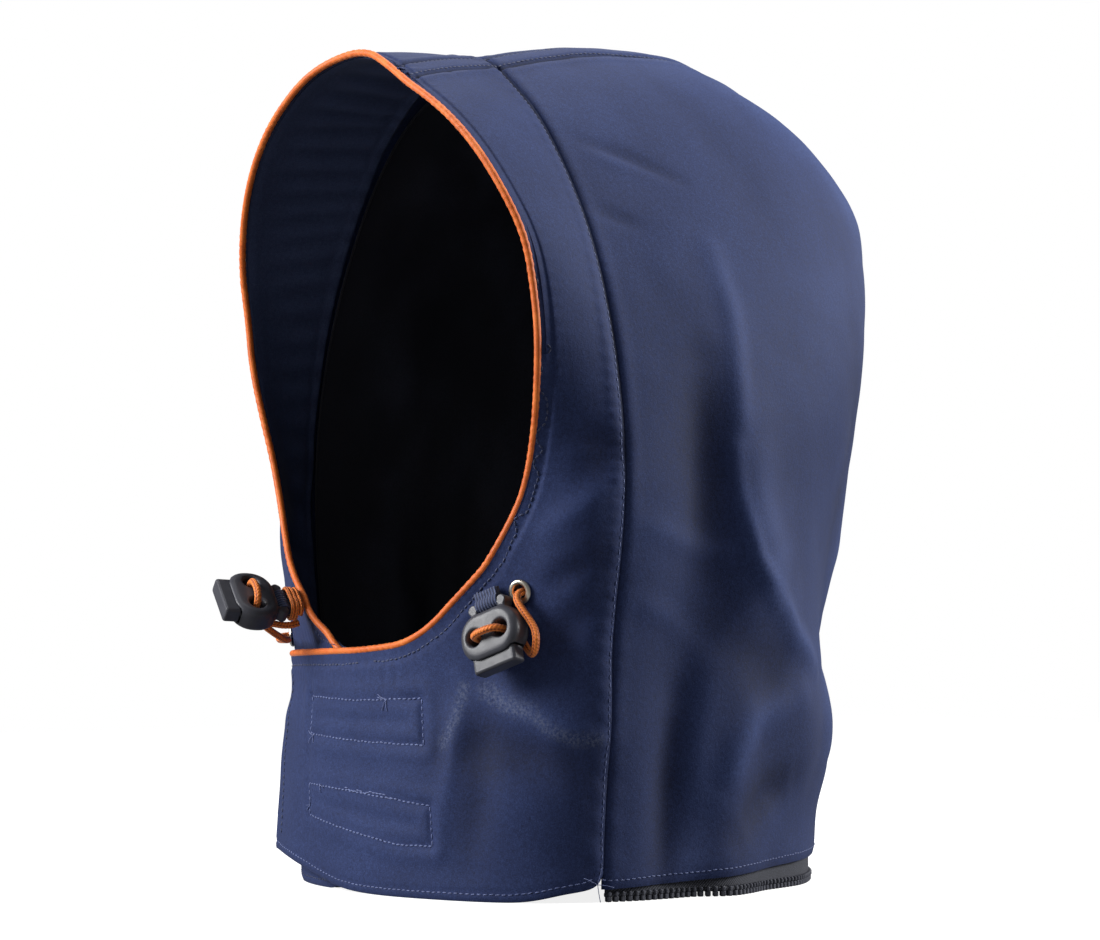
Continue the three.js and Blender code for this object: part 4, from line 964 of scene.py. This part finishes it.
def shifted_row(line, sideways, up=(0, 0, 1)):
    """A row beside a line on the cloth, at a distance to the side that a direction points to."""
    row = []
    for i, point in enumerate(line):
        place, normal = on_cloth(point)
        way = (line[min(i + 1, len(line) - 1)] - line[max(i - 1, 0)]).normalized()
        side = normal.cross(way).normalized()
        if callable(up):
            side = side if side.dot(up(place)) > 0 else -side
        elif side.dot(Vector(up)) < 0:
            side = -side
        row.append(on_cloth(point + side * sideways)[0])
    return row


SEWN = {
    # pitch, length and width of the stitches of each row
    "opening": (2.7, 2.1, 0.8),
    "box": (2.6, 2.0, 0.74),
    "hem": (2.7, 2.0, 0.55),
    "seam": (3.1, 2.2, 0.58),
    "strip": (2.8, 2.1, 0.55),
    "flap edge": (2.8, 2.1, 0.8),
    "doubled": (2.2, 2.4, 0.6),
}
LOT = 40


def sew(places, row, kind, skin=whole_skin, lift=0.1 * MM, wander=0.12 * MM):
    """Adds the place, turn and size of each stitch of one row to a list."""
    pitch, length, width = (size * MM for size in SEWN[kind])
    line = resampled(row, pitch)
    for i in range(len(line) - 1):
        start, normal_a = on_cloth(line[i], skin)
        end, normal_b = on_cloth(line[i + 1], skin)
        way = end - start
        if way.length < 0.3 * pitch:
            continue
        normal = (normal_a + normal_b).normalized()
        along = way.normalized()
        side = normal.cross(along).normalized()
        middle = (start + end) / 2 + normal * lift + side * random.uniform(-wander, wander)
        along = (along + side * random.uniform(-0.08, 0.08)).normalized()
        side = normal.cross(along).normalized()
        size = length * random.uniform(0.92, 1.06)
        turn = Matrix((normal * width * -0.42, side * width / 2, along * size / 2)).transposed().to_4x4()
        places.append(Matrix.Translation(middle) @ turn)


def repeated(places, make):
    """One shape that holds a copy at every place, made in small lots because large shapes grow slowly."""
    whole = bmesh.new()
    for first in range(0, len(places), LOT):
        lot = bmesh.new()
        for place in places[first:first + LOT]:
            make(lot, place)
        mesh = mesh_of("lot", lot)
        whole.from_mesh(mesh)
        bpy.data.meshes.remove(mesh)
    return whole


def stitch(shape, place):
    bmesh.ops.create_uvsphere(shape, u_segments=6, v_segments=5, radius=1, matrix=place)


def thread_material(name, dark, pale):
    material, shader, wire = start_material(name, roughness=0.6, Sheen_Weight=0.2)
    where = object_place(wire)
    fibre = grain(wire, where, 2600, 2.0)
    patch = grain(wire, where, 90, 2.0)
    tone = ((fibre - 0.5) * 0.8 + (patch - 0.5) * 0.9 + 0.5).clip(0.0, 1.0)
    wire.feed(shader.inputs["Base Color"], blend_colours(wire, tone, dark, pale))
    raise_bump(wire, shader, fibre, 0.00008, 0.6)
    return material


pale_thread = thread_material("pale_thread", linear(62, 74, 122), linear(100, 114, 164))
navy_thread = thread_material("navy_thread", linear(24, 31, 60), linear(48, 60, 102))


def piece_of(name, shape, material, node=None, body="hood", smooth=True):
    """A finished piece from a shape."""
    mesh = mesh_of(name, shape)
    mesh.polygons.foreach_set("use_smooth", [smooth] * len(mesh.polygons))
    piece = placed(name, mesh)
    settle(piece, material, node, body)
    return piece


def from_opening(place):
    """Direction away from the nearest point of the piping."""
    nearest = min(coarse_piping, key=lambda p: (p - place).length_squared)
    return place - nearest


def seam_points(side, top):
    """Points down the band seam on one side, below a height."""
    band = cloth["front_band_left" if side > 0 else "front_band_right"]
    row = {}
    for point in map(Vector, points_of(band)):
        if abs(point.y - SEAM_Y) < 3.0 * MM and point.x * side > 0:
            key = round(math.atan2(point.z - 100 * MM, point.x * side) * 60)
            if key not in row or abs(point.y - SEAM_Y) < abs(row[key].y - SEAM_Y):
                row[key] = point
    return [row[key] for key in sorted(row) if row[key].z < top]


pale = []
navy = []
sew(navy, shifted_row(piping_line[::2], EDGE_STITCH, from_opening), "opening")
for box in BOX_LINES:
    for start, end in zip(box, box[1:]):
        sew(pale, [start, (start + end) / 2, end], "box", flap_skin)
for name, line in hems.items():
    row = shifted_row(resampled(line[::4] + [line[-1]], 5 * MM), HEM_STITCH)
    sew(pale if "left" in name else navy, row, "hem")
for side in (1, -1):
    row = [p - Vector((0, 1.0 * MM, 0)) for p in seam_points(side, 340 * MM)]
    sew(pale, row, "seam")
    sew(navy, shifted_row(strip_all, 3.9 * MM, (side, 0, 0)), "strip")
FLAP_EDGE = [(-76.5, -110, 88), (-76.5, -111, 66), (-76.5, -113, 42), (-76.5, -114, 20)]
sew(navy, [Vector(p) * MM for p in FLAP_EDGE], "flap edge", flap_skin)
DOUBLED_ROW = [(-10, -121, 42.2), (6, -121, 41.2), (22, -120, 39.8)]
sew(pale, [Vector(p) * MM for p in DOUBLED_ROW], "doubled", flap_skin, wander=0.6 * MM)
piece_of("stitches_pale", repeated(pale, stitch), pale_thread)
piece_of("stitches_navy", repeated(navy, stitch), navy_thread)
print("stitches:", len(pale), "pale and", len(navy), "navy")

# %% [markdown]
# ## Loose thread ends
# Where a row was sewn off, short ends of thread stay loose. Each is a thin tube that starts in the cloth
# and curls a little off it.

# %% Loose ends
THREAD_RADIUS = 0.17 * MM
THREAD_ENDS = [
    # where the end starts, how many ends there are, and how long they are
    ((16, -121, 79), 4, 5.0),
    ((-39, -120, 63), 3, 4.0),
    ((-30, -121, 43), 2, 3.5),
    ((-41, -119, 34), 3, 4.0),
    ((101, -77, 5), 4, 7.0),
]
thread_ends = bmesh.new()
for start, count, length in THREAD_ENDS:
    for _ in range(count):
        place, normal = on_cloth(Vector(start) * MM, flap_skin)
        side = normal.cross(Vector((0, 0, 1))).normalized()
        turn = random.uniform(0, 2 * math.pi)
        way = side * math.cos(turn) + normal.cross(side) * math.sin(turn)
        across = normal.cross(way)
        bend = random.uniform(-1.4, 1.4) * MM
        line = []
        for t in (0, 0.25, 0.5, 0.75, 1):
            off = (0.1 + 1.0 * t * (1.4 - t)) * MM
            line.append(place + way * length * t * MM + across * bend * t * t + normal * off)
        end = tube("thread_end", resampled(line, 0.5 * MM), THREAD_RADIUS, 6)
        thread_ends.from_mesh(end.data)
        bpy.data.objects.remove(end)
piece_of("thread_ends", thread_ends, pale_thread)

# %% [markdown]
# ## Draw cords
# The draw cord is a round braid of 3 mm: orange yarns in a chevron with a dark line between them. It leaves
# its eyelet, goes up through one hole of the lock, over the face and down the other hole. Its way is
# repeated from the model in millimetres.

# %% Draw cords
CORD_RADIUS = 1.5 * MM
CORD_WAYS = {
    "left": [(79.2, -97.0, 122.7), (80.5, -101.2, 122.1), (81.7, -104.6, 120.9), (83.6, -106.2, 118.6),
             (86.6, -105.9, 115.0), (89.8, -104.9, 111.0), (92.1, -104.3, 107.5), (93.4, -104.5, 103.5),
             (91.3, -103.6, 99.1), (87.6, -102.4, 97.9), (82.8, -101.7, 101.1), (80.6, -102.2, 104.5),
             (80.7, -105.0, 106.2),
             (81.8, -109.7, 107.2), (82.5, -114.0, 108.0), (82.0, -116.6, 108.1), (80.1, -118.5, 107.5),
             (77.9, -119.4, 106.7), (75.6, -119.9, 105.8), (73.1, -119.4, 104.7), (71.5, -117.5, 103.8),
             (70.2, -113.4, 102.9), (69.0, -108.7, 101.9), (68.9, -106.1, 100.2), (72.3, -106.0, 97.7),
             (76.0, -105.5, 96.5)],
    "right": [(-94.9, -84.9, 104.0), (-98.2, -88.1, 103.9), (-100.4, -91.0, 103.7), (-99.8, -94.2, 103.4),
              (-95.5, -98.6, 102.8), (-86.0, -104.8, 102.2), (-77.0, -108.0, 102.2), (-70.6, -111.0, 102.3),
              (-66.3, -116.3, 102.8), (-63.1, -124.0, 105.8), (-63.8, -129.8, 109.8),
              (-68.0, -132.8, 113.4), (-69.3, -133.9, 116.7), (-68.1, -134.5, 119.1), (-65.1, -135.0, 122.6),
              (-62.1, -135.6, 125.7), (-59.7, -136.1, 126.8), (-57.1, -136.7, 126.1), (-55.1, -137.2, 124.7),
              (-53.4, -137.7, 122.9), (-52.3, -138.1, 120.3), (-53.0, -138.0, 117.7), (-55.6, -137.6, 114.2),
              (-58.5, -137.1, 110.7), (-60.1, -135.7, 108.7), (-60.8, -131.0, 108.5), (-59.7, -126.3, 109.1),
              (-57.9, -122.2, 108.5), (-56.5, -118.8, 108.6), (-55.6, -115.7, 109.5)],
}


def braided_cord():
    material, shader, wire = start_material("orange_braid", roughness=0.6, Sheen_Weight=0.15)
    run, turn = axes(wire.node("ShaderNodeUVMap", {"uv_map": "UVMap"}))[:2]
    half = wire.maths("PINGPONG", turn, 0.25) * 4.0
    yarn = ((run * (1 / 0.0013) + half * 1.1) * (2 * math.pi)).sine() * 0.5 + 0.5
    line = wire.maths("ABSOLUTE", half - 0.5) * 2.0
    # darker between the yarns' crests, where the tube's relief dips: painted shade; the dark middle line is
    # darker still
    dark = (line ** 5.0) * 0.75 + (1.0 - yarn) * 0.35
    speck = grain(wire, object_place(wire), 1900, 2.0)
    tone = (0.95 - dark + (speck - 0.5) * 0.5).clip(0.0, 1.0)
    stops = [(0.0, linear(96, 40, 8)), (0.45, linear(200, 92, 18)), (1.0, linear(246, 138, 50))]
    wire.feed(shader.inputs["Base Color"], ramp(wire, tone, stops))
    raise_bump(wire, shader, yarn * 0.7 - (line ** 5.0) + speck * 0.3, 0.00022, 0.8)
    return material


orange_braid = braided_cord()


def plaited(run, turn):
    yarn = np.sin(2 * math.pi * (run / (1.3 * MM) + 1.1 * np.abs(((turn * 4) % 2) - 1)))
    return 1 + 0.035 * yarn - 0.07 * np.abs(((turn * 4) % 2) - 1) ** 5


for side, way in CORD_WAYS.items():
    line = resampled([Vector(p) * MM for p in way], 0.45 * MM)
    cord = tube("cord_" + side, line, CORD_RADIUS, 14, plaited)
    settle(cord, orange_braid, "draw_cord_" + side)
    line_length(line)
    [tuple(p) for p in line[::2]] + [tuple(line[-1])]
    print("cord", side, round(line_length(line) / MM), "mm")

# %% [markdown]
# ## Eyelets
# Each eyelet is a small rolled ring of nickelled brass. Its section is a short line of points, spun round
# the eyelet's axis.

# %% Eyelets
RING_SECTION = [(2.8, -3.3), (2.8, 0.1), (2.95, 0.75), (3.4, 1.1), (3.9, 1.2), (4.4, 1.1), (4.8, 0.75),
                (5.0, 0.25), (5.0, 0.05), (4.6, -0.25), (3.4, -0.3), (3.4, -3.3)]


def nickel():
    material, shader, wire = start_material("nickel", roughness=0.28, metallic=1.0)
    smear = grain(wire, object_place(wire), 420, 4.0)
    colour = blend_colours(wire, smear, linear(186, 176, 160), linear(236, 230, 218))
    wire.feed(shader.inputs["Base Color"], colour)
    wire.feed(shader.inputs["Roughness"], 0.2 + smear * 0.2)
    return material


nickelled = nickel()
for side, (centre, normal) in EYELETS.items():
    shape = bmesh.new()
    row = [shape.verts.new((r * MM, 0, h * MM)) for r, h in RING_SECTION]
    edges = [shape.edges.new(pair) for pair in zip(row, row[1:] + row[:1])]
    bmesh.ops.spin(shape, geom=row + edges, cent=(0, 0, 0), axis=(0, 0, 1), angle=2 * math.pi, steps=40,
                   use_merge=True)
    bmesh.ops.remove_doubles(shape, verts=shape.verts, dist=1e-6)
    bmesh.ops.recalc_face_normals(shape, faces=shape.faces)
    surface = on_cloth(centre)[0]
    turn = normal.to_track_quat("Z", "Y").to_matrix().to_4x4()
    shape.transform(Matrix.Translation(surface + normal * 0.1 * MM) @ turn)
    piece_of("eyelet_ring_" + side, shape, nickelled, "eyelet_" + side)

# %% [markdown]
# ## Cord locks
# A cord lock is moulded plastic: a domed block with two countersunk holes, a bail on one side for the tab,
# and a sprung button on the other. The body is built from simple shapes, joined and remeshed to one skin,
# and smoothed, which gives every edge the soft radius of a moulding. X runs along the lock, Y towards its
# button and Z out of its face.

# %% Lock frames and moulding
LOCKS = {
    "left": Matrix(((-0.8982, 0.3762, 0.2274, 0.0760), (-0.2847, -0.1035, -0.9530, -0.1115),
                    (-0.3350, -0.9207, 0.2000, 0.1050), (0, 0, 0, 1))),
    "right": Matrix(((-0.7349, -0.2231, 0.6405, -0.0604), (0.2021, -0.9735, -0.1072, -0.1363),
                     (0.6474, 0.0507, 0.7605, 0.1184), (0, 0, 0, 1))),
}
LOCK_LENGTH, LOCK_WIDTH, LOCK_DEPTH = 28 * MM, 20 * MM, 11 * MM
LOCK_CORNER, LOCK_EDGE = 9.2 * MM, 3.0 * MM
HOLE_APART, HOLE_RADIUS = 13 * MM, 3.3 * MM
SINK_INNER, SINK_OUTER, SINK_DEPTH = 3.0 * MM, 4.6 * MM, 2.6 * MM
BUTTON_LENGTH, BUTTON_HEIGHT, BUTTON_DEPTH, BUTTON_PROUD = 21 * MM, 6.5 * MM, 7 * MM, 4.2 * MM
BAIL_BACK, BAIL_RADIUS = -13.4 * MM, 2.3 * MM
SKIN, SMOOTHINGS = 0.38 * MM, 4


def grey_plastic():
    material, shader, wire = start_material("grey_plastic", roughness=0.5, Specular_IOR_Level=0.45)
    where = object_place(wire)
    sand = grain(wire, where, 3400, 2.0)
    patch = grain(wire, where, 260, 3.0)
    tone = (sand - 0.5) * 0.5 + (patch - 0.5) * 0.5 + 0.5
    wire.feed(shader.inputs["Base Color"], blend_colours(wire, tone, linear(46, 47, 53), linear(74, 75, 84)))
    wire.feed(shader.inputs["Roughness"], 0.42 + (patch - 0.5) * 0.2 + (sand - 0.5) * 0.1)
    raise_bump(wire, shader, sand, 0.00006, 0.5)
    return material


plastic = grey_plastic()


def block(shape, size, centre, corner, segments=6, axis=2):
    """A block whose four edges along one axis are rounded by a corner radius, and the rest softened."""
    place = Matrix.Translation(centre) @ Matrix.Diagonal((*size, 1))
    made = bmesh.ops.create_cube(shape, size=1, matrix=place)
    edges = in_order(e for v in made["verts"] for e in v.link_edges)
    tall = [e for e in edges if abs((e.verts[0].co - e.verts[1].co).normalized()[axis]) > 0.9]
    bmesh.ops.bevel(shape, geom=tall, offset=corner, offset_type="OFFSET", affect="EDGES", segments=segments,
                    profile=0.5, material=-1)


def cutter(name, make):
    shape = bmesh.new()
    make(shape)
    return placed(name, mesh_of(name, shape))


def moulded(name, make_body, make_cuts):
    """Joins the shapes of a body, takes the cuts away, and remeshes and smooths the result to one skin."""
    body = cutter(name, make_body)
    fuse = body.modifiers.new("fuse", "REMESH")
    fuse.mode = "VOXEL"
    fuse.voxel_size = SKIN
    cuts = cutter(name + "_cuts", make_cuts)
    take = body.modifiers.new("take", "BOOLEAN")
    take.object = cuts
    take.solver = "EXACT"
    take.use_self = True
    skin_again = body.modifiers.new("skin", "REMESH")
    skin_again.mode = "VOXEL"
    skin_again.voxel_size = SKIN
    soften = body.modifiers.new("soften", "SMOOTH")
    soften.factor = 0.5
    soften.iterations = SMOOTHINGS
    mesh = worked_out(body)
    bpy.data.objects.remove(cuts)
    shape = bmesh.new()
    shape.from_mesh(mesh)
    bpy.data.meshes.remove(mesh)
    return shape


def lock_shapes(shape):
    bmesh.ops.create_cube(shape, size=1, matrix=Matrix.Diagonal((LOCK_LENGTH, LOCK_WIDTH, LOCK_DEPTH, 1)))
    tall = [e for e in shape.edges if abs((e.verts[0].co - e.verts[1].co).normalized().z) > 0.9]
    bmesh.ops.bevel(shape, geom=tall, offset=LOCK_CORNER, offset_type="OFFSET", affect="EDGES", segments=8,
                    profile=0.5, material=-1)
    rim = [e for e in shape.edges if abs((e.verts[0].co - e.verts[1].co).normalized().z) < 0.1]
    bmesh.ops.bevel(shape, geom=rim, offset=LOCK_EDGE, offset_type="OFFSET", affect="EDGES", segments=5,
                    profile=0.5, material=-1)
    for way in (-1, 1):
        bmesh.ops.create_cone(shape, cap_ends=True, segments=20, radius1=BAIL_RADIUS, radius2=BAIL_RADIUS,
                              depth=5.4 * MM, matrix=Matrix.Translation((way * 7.0 * MM, -12.2 * MM, 0)))
        block(shape, (3.4 * MM, 6 * MM, 4.4 * MM), Vector((way * 7.0, -9.6, 0)) * MM, 0.8 * MM, 2)
    block(shape, (14 * MM, 1.8 * MM, 2.6 * MM), Vector((0, BAIL_BACK, 0)), 0.5 * MM, 2)


def lock_cuts(shape):
    for way in (-1, 1):
        hole = Matrix.Translation((way * HOLE_APART / 2, 0, 0))
        bmesh.ops.create_cone(shape, cap_ends=True, segments=28, radius1=HOLE_RADIUS, radius2=HOLE_RADIUS,
                              depth=20 * MM, matrix=hole)
        for face, low, high in ((-1, SINK_OUTER, SINK_INNER), (1, SINK_INNER, SINK_OUTER)):
            sink = hole @ Matrix.Translation((0, 0, face * 5.2 * MM))
            bmesh.ops.create_cone(shape, cap_ends=True, segments=28, radius1=low, radius2=high,
                                  depth=SINK_DEPTH, matrix=sink)
    pocket = (BUTTON_LENGTH + 0.7 * MM, 12 * MM, BUTTON_DEPTH + 0.7 * MM)
    block(shape, pocket, Vector((0, 4.7 + 6, 0)) * MM, 1.4 * MM, 3, axis=1)


def button_shapes(shape):
    top = LOCK_WIDTH / 2 + BUTTON_PROUD
    size = (BUTTON_LENGTH, BUTTON_HEIGHT, BUTTON_DEPTH)
    block(shape, size, Vector((0, top - BUTTON_HEIGHT / 2, 0)), 1.6 * MM, 4, axis=1)
    rim = [e for e in shape.edges if min(v.co.y for v in e.verts) > top - 0.1 * MM]
    bmesh.ops.bevel(shape, geom=rim, offset=1.0 * MM, offset_type="OFFSET", affect="EDGES", segments=3,
                    profile=0.5, material=-1)


for side, place in LOCKS.items():
    shape = moulded("lock_body", lock_shapes, lock_cuts)
    shape.transform(place)
    body = piece_of("lock_" + side, shape, plastic, "lock_body_" + side)
    shape = bmesh.new()
    button_shapes(shape)
    shape.transform(place)
    button = piece_of("button_" + side, shape, plastic, "lock_button_" + side,
                      side + "_button", smooth=False)
    edge = button.modifiers.new("edge", "BEVEL")
    edge.width = 0.25 * MM
    edge.segments = 2
    edge.limit_method = "ANGLE"
    print("lock", side, len(body.data.polygons), "faces")

# %% [markdown]
# ## Ribbed tabs
# A tab of ribbed elastic goes round the lock's bail and into the piping seam. The model's node has the
# right way round the bar; cuts along its length make the ribs, whose ridges are lifted.

# %% Tabs
RIBS = 8
CUTS = RIBS * 4
RIB_RISE = 0.22 * MM
TAB_WIDTH = 11 * MM
WRAP_RADIUS = 0.9 * MM
LOOP_RADIUS = 0.6 * MM


def webbing():
    material, shader, wire = start_material("ribbed_webbing", roughness=0.75, Sheen_Weight=0.2)
    rib = kept_value(wire, "rib")
    speck = grain(wire, object_place(wire), 1600, 2.0)
    # the ribs are painted lighter on their ridges and darker in the grooves between them: painted light and
    # shade
    tone = rib * 0.75 + (speck - 0.5) * 0.7 + 0.1
    stops = [(0.0, linear(20, 26, 48)), (0.5, linear(44, 55, 90)), (1.0, linear(78, 91, 130))]
    wire.feed(shader.inputs["Base Color"], ramp(wire, tone, stops))
    raise_bump(wire, shader, rib + speck * 0.4, 0.0002, 0.6)
    return material


ribbed = webbing()
for side, place in LOCKS.items():
    shape = merged_copy("lock_tab_" + side)
    shape.transform(place.inverted())
    for cut in range(1, CUTS):
        across = (cut / CUTS - 0.5) * TAB_WIDTH
        bmesh.ops.bisect_plane(shape, geom=[*shape.verts, *shape.edges, *shape.faces], dist=1e-7,
                               plane_co=(across, 0, 0), plane_no=(1, 0, 0))
    shape.normal_update()
    lifted = []
    for vert in shape.verts:
        ridge = 0.5 - 0.5 * math.cos((vert.co.x / TAB_WIDTH + 0.5) * RIBS * 2 * math.pi)
        flat = Vector((0, vert.normal.y, vert.normal.z))
        lifted.append((vert, flat * (RIB_RISE * ridge), ridge))
    for vert, move, ridge in lifted:
        vert.co += move
    ridges = [ridge for vert, move, ridge in lifted]
    shape.transform(place)
    tab = piece_of("tab_" + side, shape, ribbed, "lock_tab_" + side)
    # the ribs' heights, which also paint light and shade on the webbing
    set_value(tab, "rib", ridges)

wrap_line = resampled(middle_line("tab_wrap_right"), 0.6 * MM)
settle(tube("wrap_right", wrap_line, WRAP_RADIUS, 12), orange_braid, "tab_wrap_right")
LOOP_WAY = [(-85.2, -105.0, 29.6), (-86.4, -104.5, 29.5), (-87.2, -104.2, 27.8), (-86.4, -104.5, 25.9),
            (-85.2, -105.0, 25.6)]
loop_line = resampled([Vector(p) * MM for p in LOOP_WAY], 0.4 * MM)
settle(tube("loop_right", loop_line, LOOP_RADIUS, 10), ribbed, "hem_loop_right")
print("wound cord", round(line_length(wrap_line) / MM), "mm; loop", round(line_length(loop_line) / MM), "mm")

# %% [markdown]
# ## Zip half
# The hood fastens by half a zip along the back of its hem. The tape is a dark ribbed weave; each tooth is a
# small moulded block with a waist. A tooth has few faces because it repeats about 150 times.

# %% Zip
TOOTH_PITCH = 3.1 * MM
TAPE_CLOTH = 0.8 * MM
TAPE_CORD = 0.95 * MM


def zip_cloth():
    material, shader, wire = start_material("zip_tape_weave", roughness=0.85, Sheen_Weight=0.1)
    where = object_place(wire)
    across, ahead, height = axes(where)
    round_hood = wire.maths("ARCTAN2", across, ahead) * 0.1
    slant = ((round_hood + height) * 5200).sine() * 0.5 + 0.5
    speck = grain(wire, where, 1500, 2.0)
    tone = slant * 0.5 + (speck - 0.5) * 0.6 + 0.2
    colour = blend_colours(wire, tone.clip(0.1, 0.9), linear(22, 23, 30), linear(80, 83, 96))
    wire.feed(shader.inputs["Base Color"], colour)
    raise_bump(wire, shader, slant + speck * 0.5, 0.00018, 0.7)
    return material


def zip_plastic():
    material, shader, wire = start_material("zip_teeth_plastic", roughness=0.4, Specular_IOR_Level=0.5)
    patch = grain(wire, object_place(wire), 700, 2.0)
    colour = blend_colours(wire, patch, linear(58, 60, 70), linear(98, 100, 112))
    wire.feed(shader.inputs["Base Color"], colour)
    wire.feed(shader.inputs["Roughness"], 0.34 + patch * 0.15)
    return material


tape_weave = zip_cloth()
tape = rounded(outer_wall("zip_tape"), "tape", 2)
finish_cloth(tape, TAPE_CLOTH, 0.12 * MM)
settle(tape, tape_weave, "zip_tape")

bar = merged_copy("zip_teeth")
low = [v.co.copy() for v in bar.verts if v.co.z < 0.3 * MM]
bar.free()
low.sort(key=lambda p: math.atan2(p.x, p.y))
pairs = []
for point in low:
    if not pairs or (point - pairs[-1][-1]).length > 3.2 * MM:
        pairs.append([point])
    else:
        pairs[-1].append(point)
teeth_line = resampled([sum(pair, Vector()) / len(pair) for pair in pairs if len(pair) > 1], TOOTH_PITCH)
teeth_places = []
for i in range(1, len(teeth_line)):
    way = (teeth_line[i] - teeth_line[i - 1]).normalized()
    out = way.cross(Vector((0, 0, 1))).normalized()
    middle = (teeth_line[i] + teeth_line[i - 1]) / 2
    turn = Matrix((way, out, Vector((0, 0, 1)))).transposed().to_4x4()
    teeth_places.append(Matrix.Translation(middle) @ turn)


def tooth(shape, place):
    """A tooth: its head below the tape's edge and its narrower clamp over the edge."""
    for size, height in (((2.1, 2.7, 2.3), 1.15), ((1.4, 3.3, 2.0), 3.1)):
        made = bmesh.ops.create_cube(shape, size=1, matrix=place @ Matrix.Translation((0, 0, height * MM))
                                     @ Matrix.Diagonal((*[c * MM for c in size], 1)))
        edges = in_order(e for v in made["verts"] for e in v.link_edges)
        bmesh.ops.bevel(shape, geom=edges, offset=0.4 * MM, offset_type="OFFSET", affect="EDGES", segments=1,
                        profile=0.5, material=-1)


edge_line = [p + Vector((0, 0, 2.9 * MM)) for p in teeth_line]
settle(tube("tape_edge", edge_line, TAPE_CORD, 10), tape_weave)
teeth = repeated(teeth_places, tooth)
piece_of("teeth", teeth, zip_plastic(), "zip_teeth", smooth=False)
print("teeth:", len(teeth_places), "over", round(line_length(teeth_line) / MM), "mm")

# %% [markdown]
# ## Cut sizes of the cloth
# The table lists, for each piece of cloth, the width and length in metres of the rectangle that it was cut
# from;
# the loop looks each piece up and does nothing more.

# %% Cloth sizes
CUT_FROM = {
    "cloth_side_panel_left": (0.300, 0.375), "cloth_side_panel_right": (0.300, 0.375),
    "cloth_centre_strip": (0.011, 0.560), "cloth_band_bridge": (0.011, 0.062),
    "cloth_front_band_left": (0.240, 0.420), "cloth_front_band_right": (0.160, 0.400),
    "cloth_facing_left": (0.240, 0.420), "cloth_facing_right": (0.160, 0.400),
    "cloth_facing_bridge": (0.011, 0.062), "cloth_lining": (0.480, 0.520), "tape": (0.013, 0.445),
}
for name, (width, length) in CUT_FROM.items():
    piece = bpy.data.objects[name]
    "hung" if name == "cloth_lining" else "stretched"

# %% [markdown]
# ## Floor and light
# A plain pale floor and soft studio light: one large lamp from the camera's left, a smaller one from its
# right, one over the hood, and a soft surround. The camera sees floor and surround almost white, while the
# cloth gets a dimmer light from them, so that folds keep their shade.

# %% Studio
WHITE = (1, 1, 1, 1)
FLOOR_HALF = 1.7
FLOOR_GLOW = 0.84
SURROUND = 0.17
floor_shape = bmesh.new()
bmesh.ops.create_grid(floor_shape, x_segments=2, y_segments=2, size=FLOOR_HALF)
floor = placed("floor", mesh_of("floor", floor_shape))
floor_material, floor_shader, floor_wire = start_material("pale_floor", roughness=0.9)
floor_shader.inputs["Base Color"].default_value = (0.4, 0.4, 0.4, 1)
floor_shader.inputs["Emission Color"].default_value = WHITE
floor_shader.inputs["Emission Strength"].default_value = FLOOR_GLOW
dim = floor_wire.node("ShaderNodeBsdfDiffuse", {}, {"Color": (0.2, 0.2, 0.2, 1)})
to_camera = floor_wire.node("ShaderNodeLightPath", out="Is Camera Ray")
bright = Wire(floor_wire.tree, floor_shader.outputs[0])
both = floor_wire.node("ShaderNodeMixShader", {}, {0: to_camera, 1: dim, 2: bright})
floor_wire.feed(floor_wire.tree.nodes["Material Output"].inputs["Surface"], both)
floor.data.materials.append(floor_material)

world = bpy.data.worlds.new("studio")
bpy.context.scene.world = world
world.use_nodes = True
world_wire = Wire(world.node_tree)
soft = world_wire.node("ShaderNodeBackground", {}, {"Color": WHITE, "Strength": SURROUND})
white = world_wire.node("ShaderNodeBackground", {}, {"Color": WHITE, "Strength": 1.0})
seen = world_wire.node("ShaderNodeLightPath", out="Is Camera Ray")
choose = world_wire.node("ShaderNodeMixShader", {}, {0: seen, 1: soft, 2: white})
world_wire.feed(world.node_tree.nodes["World Output"].inputs["Surface"], choose)


def lamp(name, place, size, power):
    data = bpy.data.lights.new(name, "AREA")
    data.size = size
    data.energy = power
    made = placed(name, data)
    made.location = place
    made.rotation_euler = (AIM - Vector(place)).to_track_quat("-Z", "Y").to_euler()


lamp("left", (-0.6, -1.3, 0.8), 0.8, 34)
lamp("right", (0.8, 1.45, 0.75), 0.6, 31)
lamp("top", (0.1, 0.2, 1.7), 0.8, 19)
bpy.context.scene.view_settings.view_transform = "Standard"
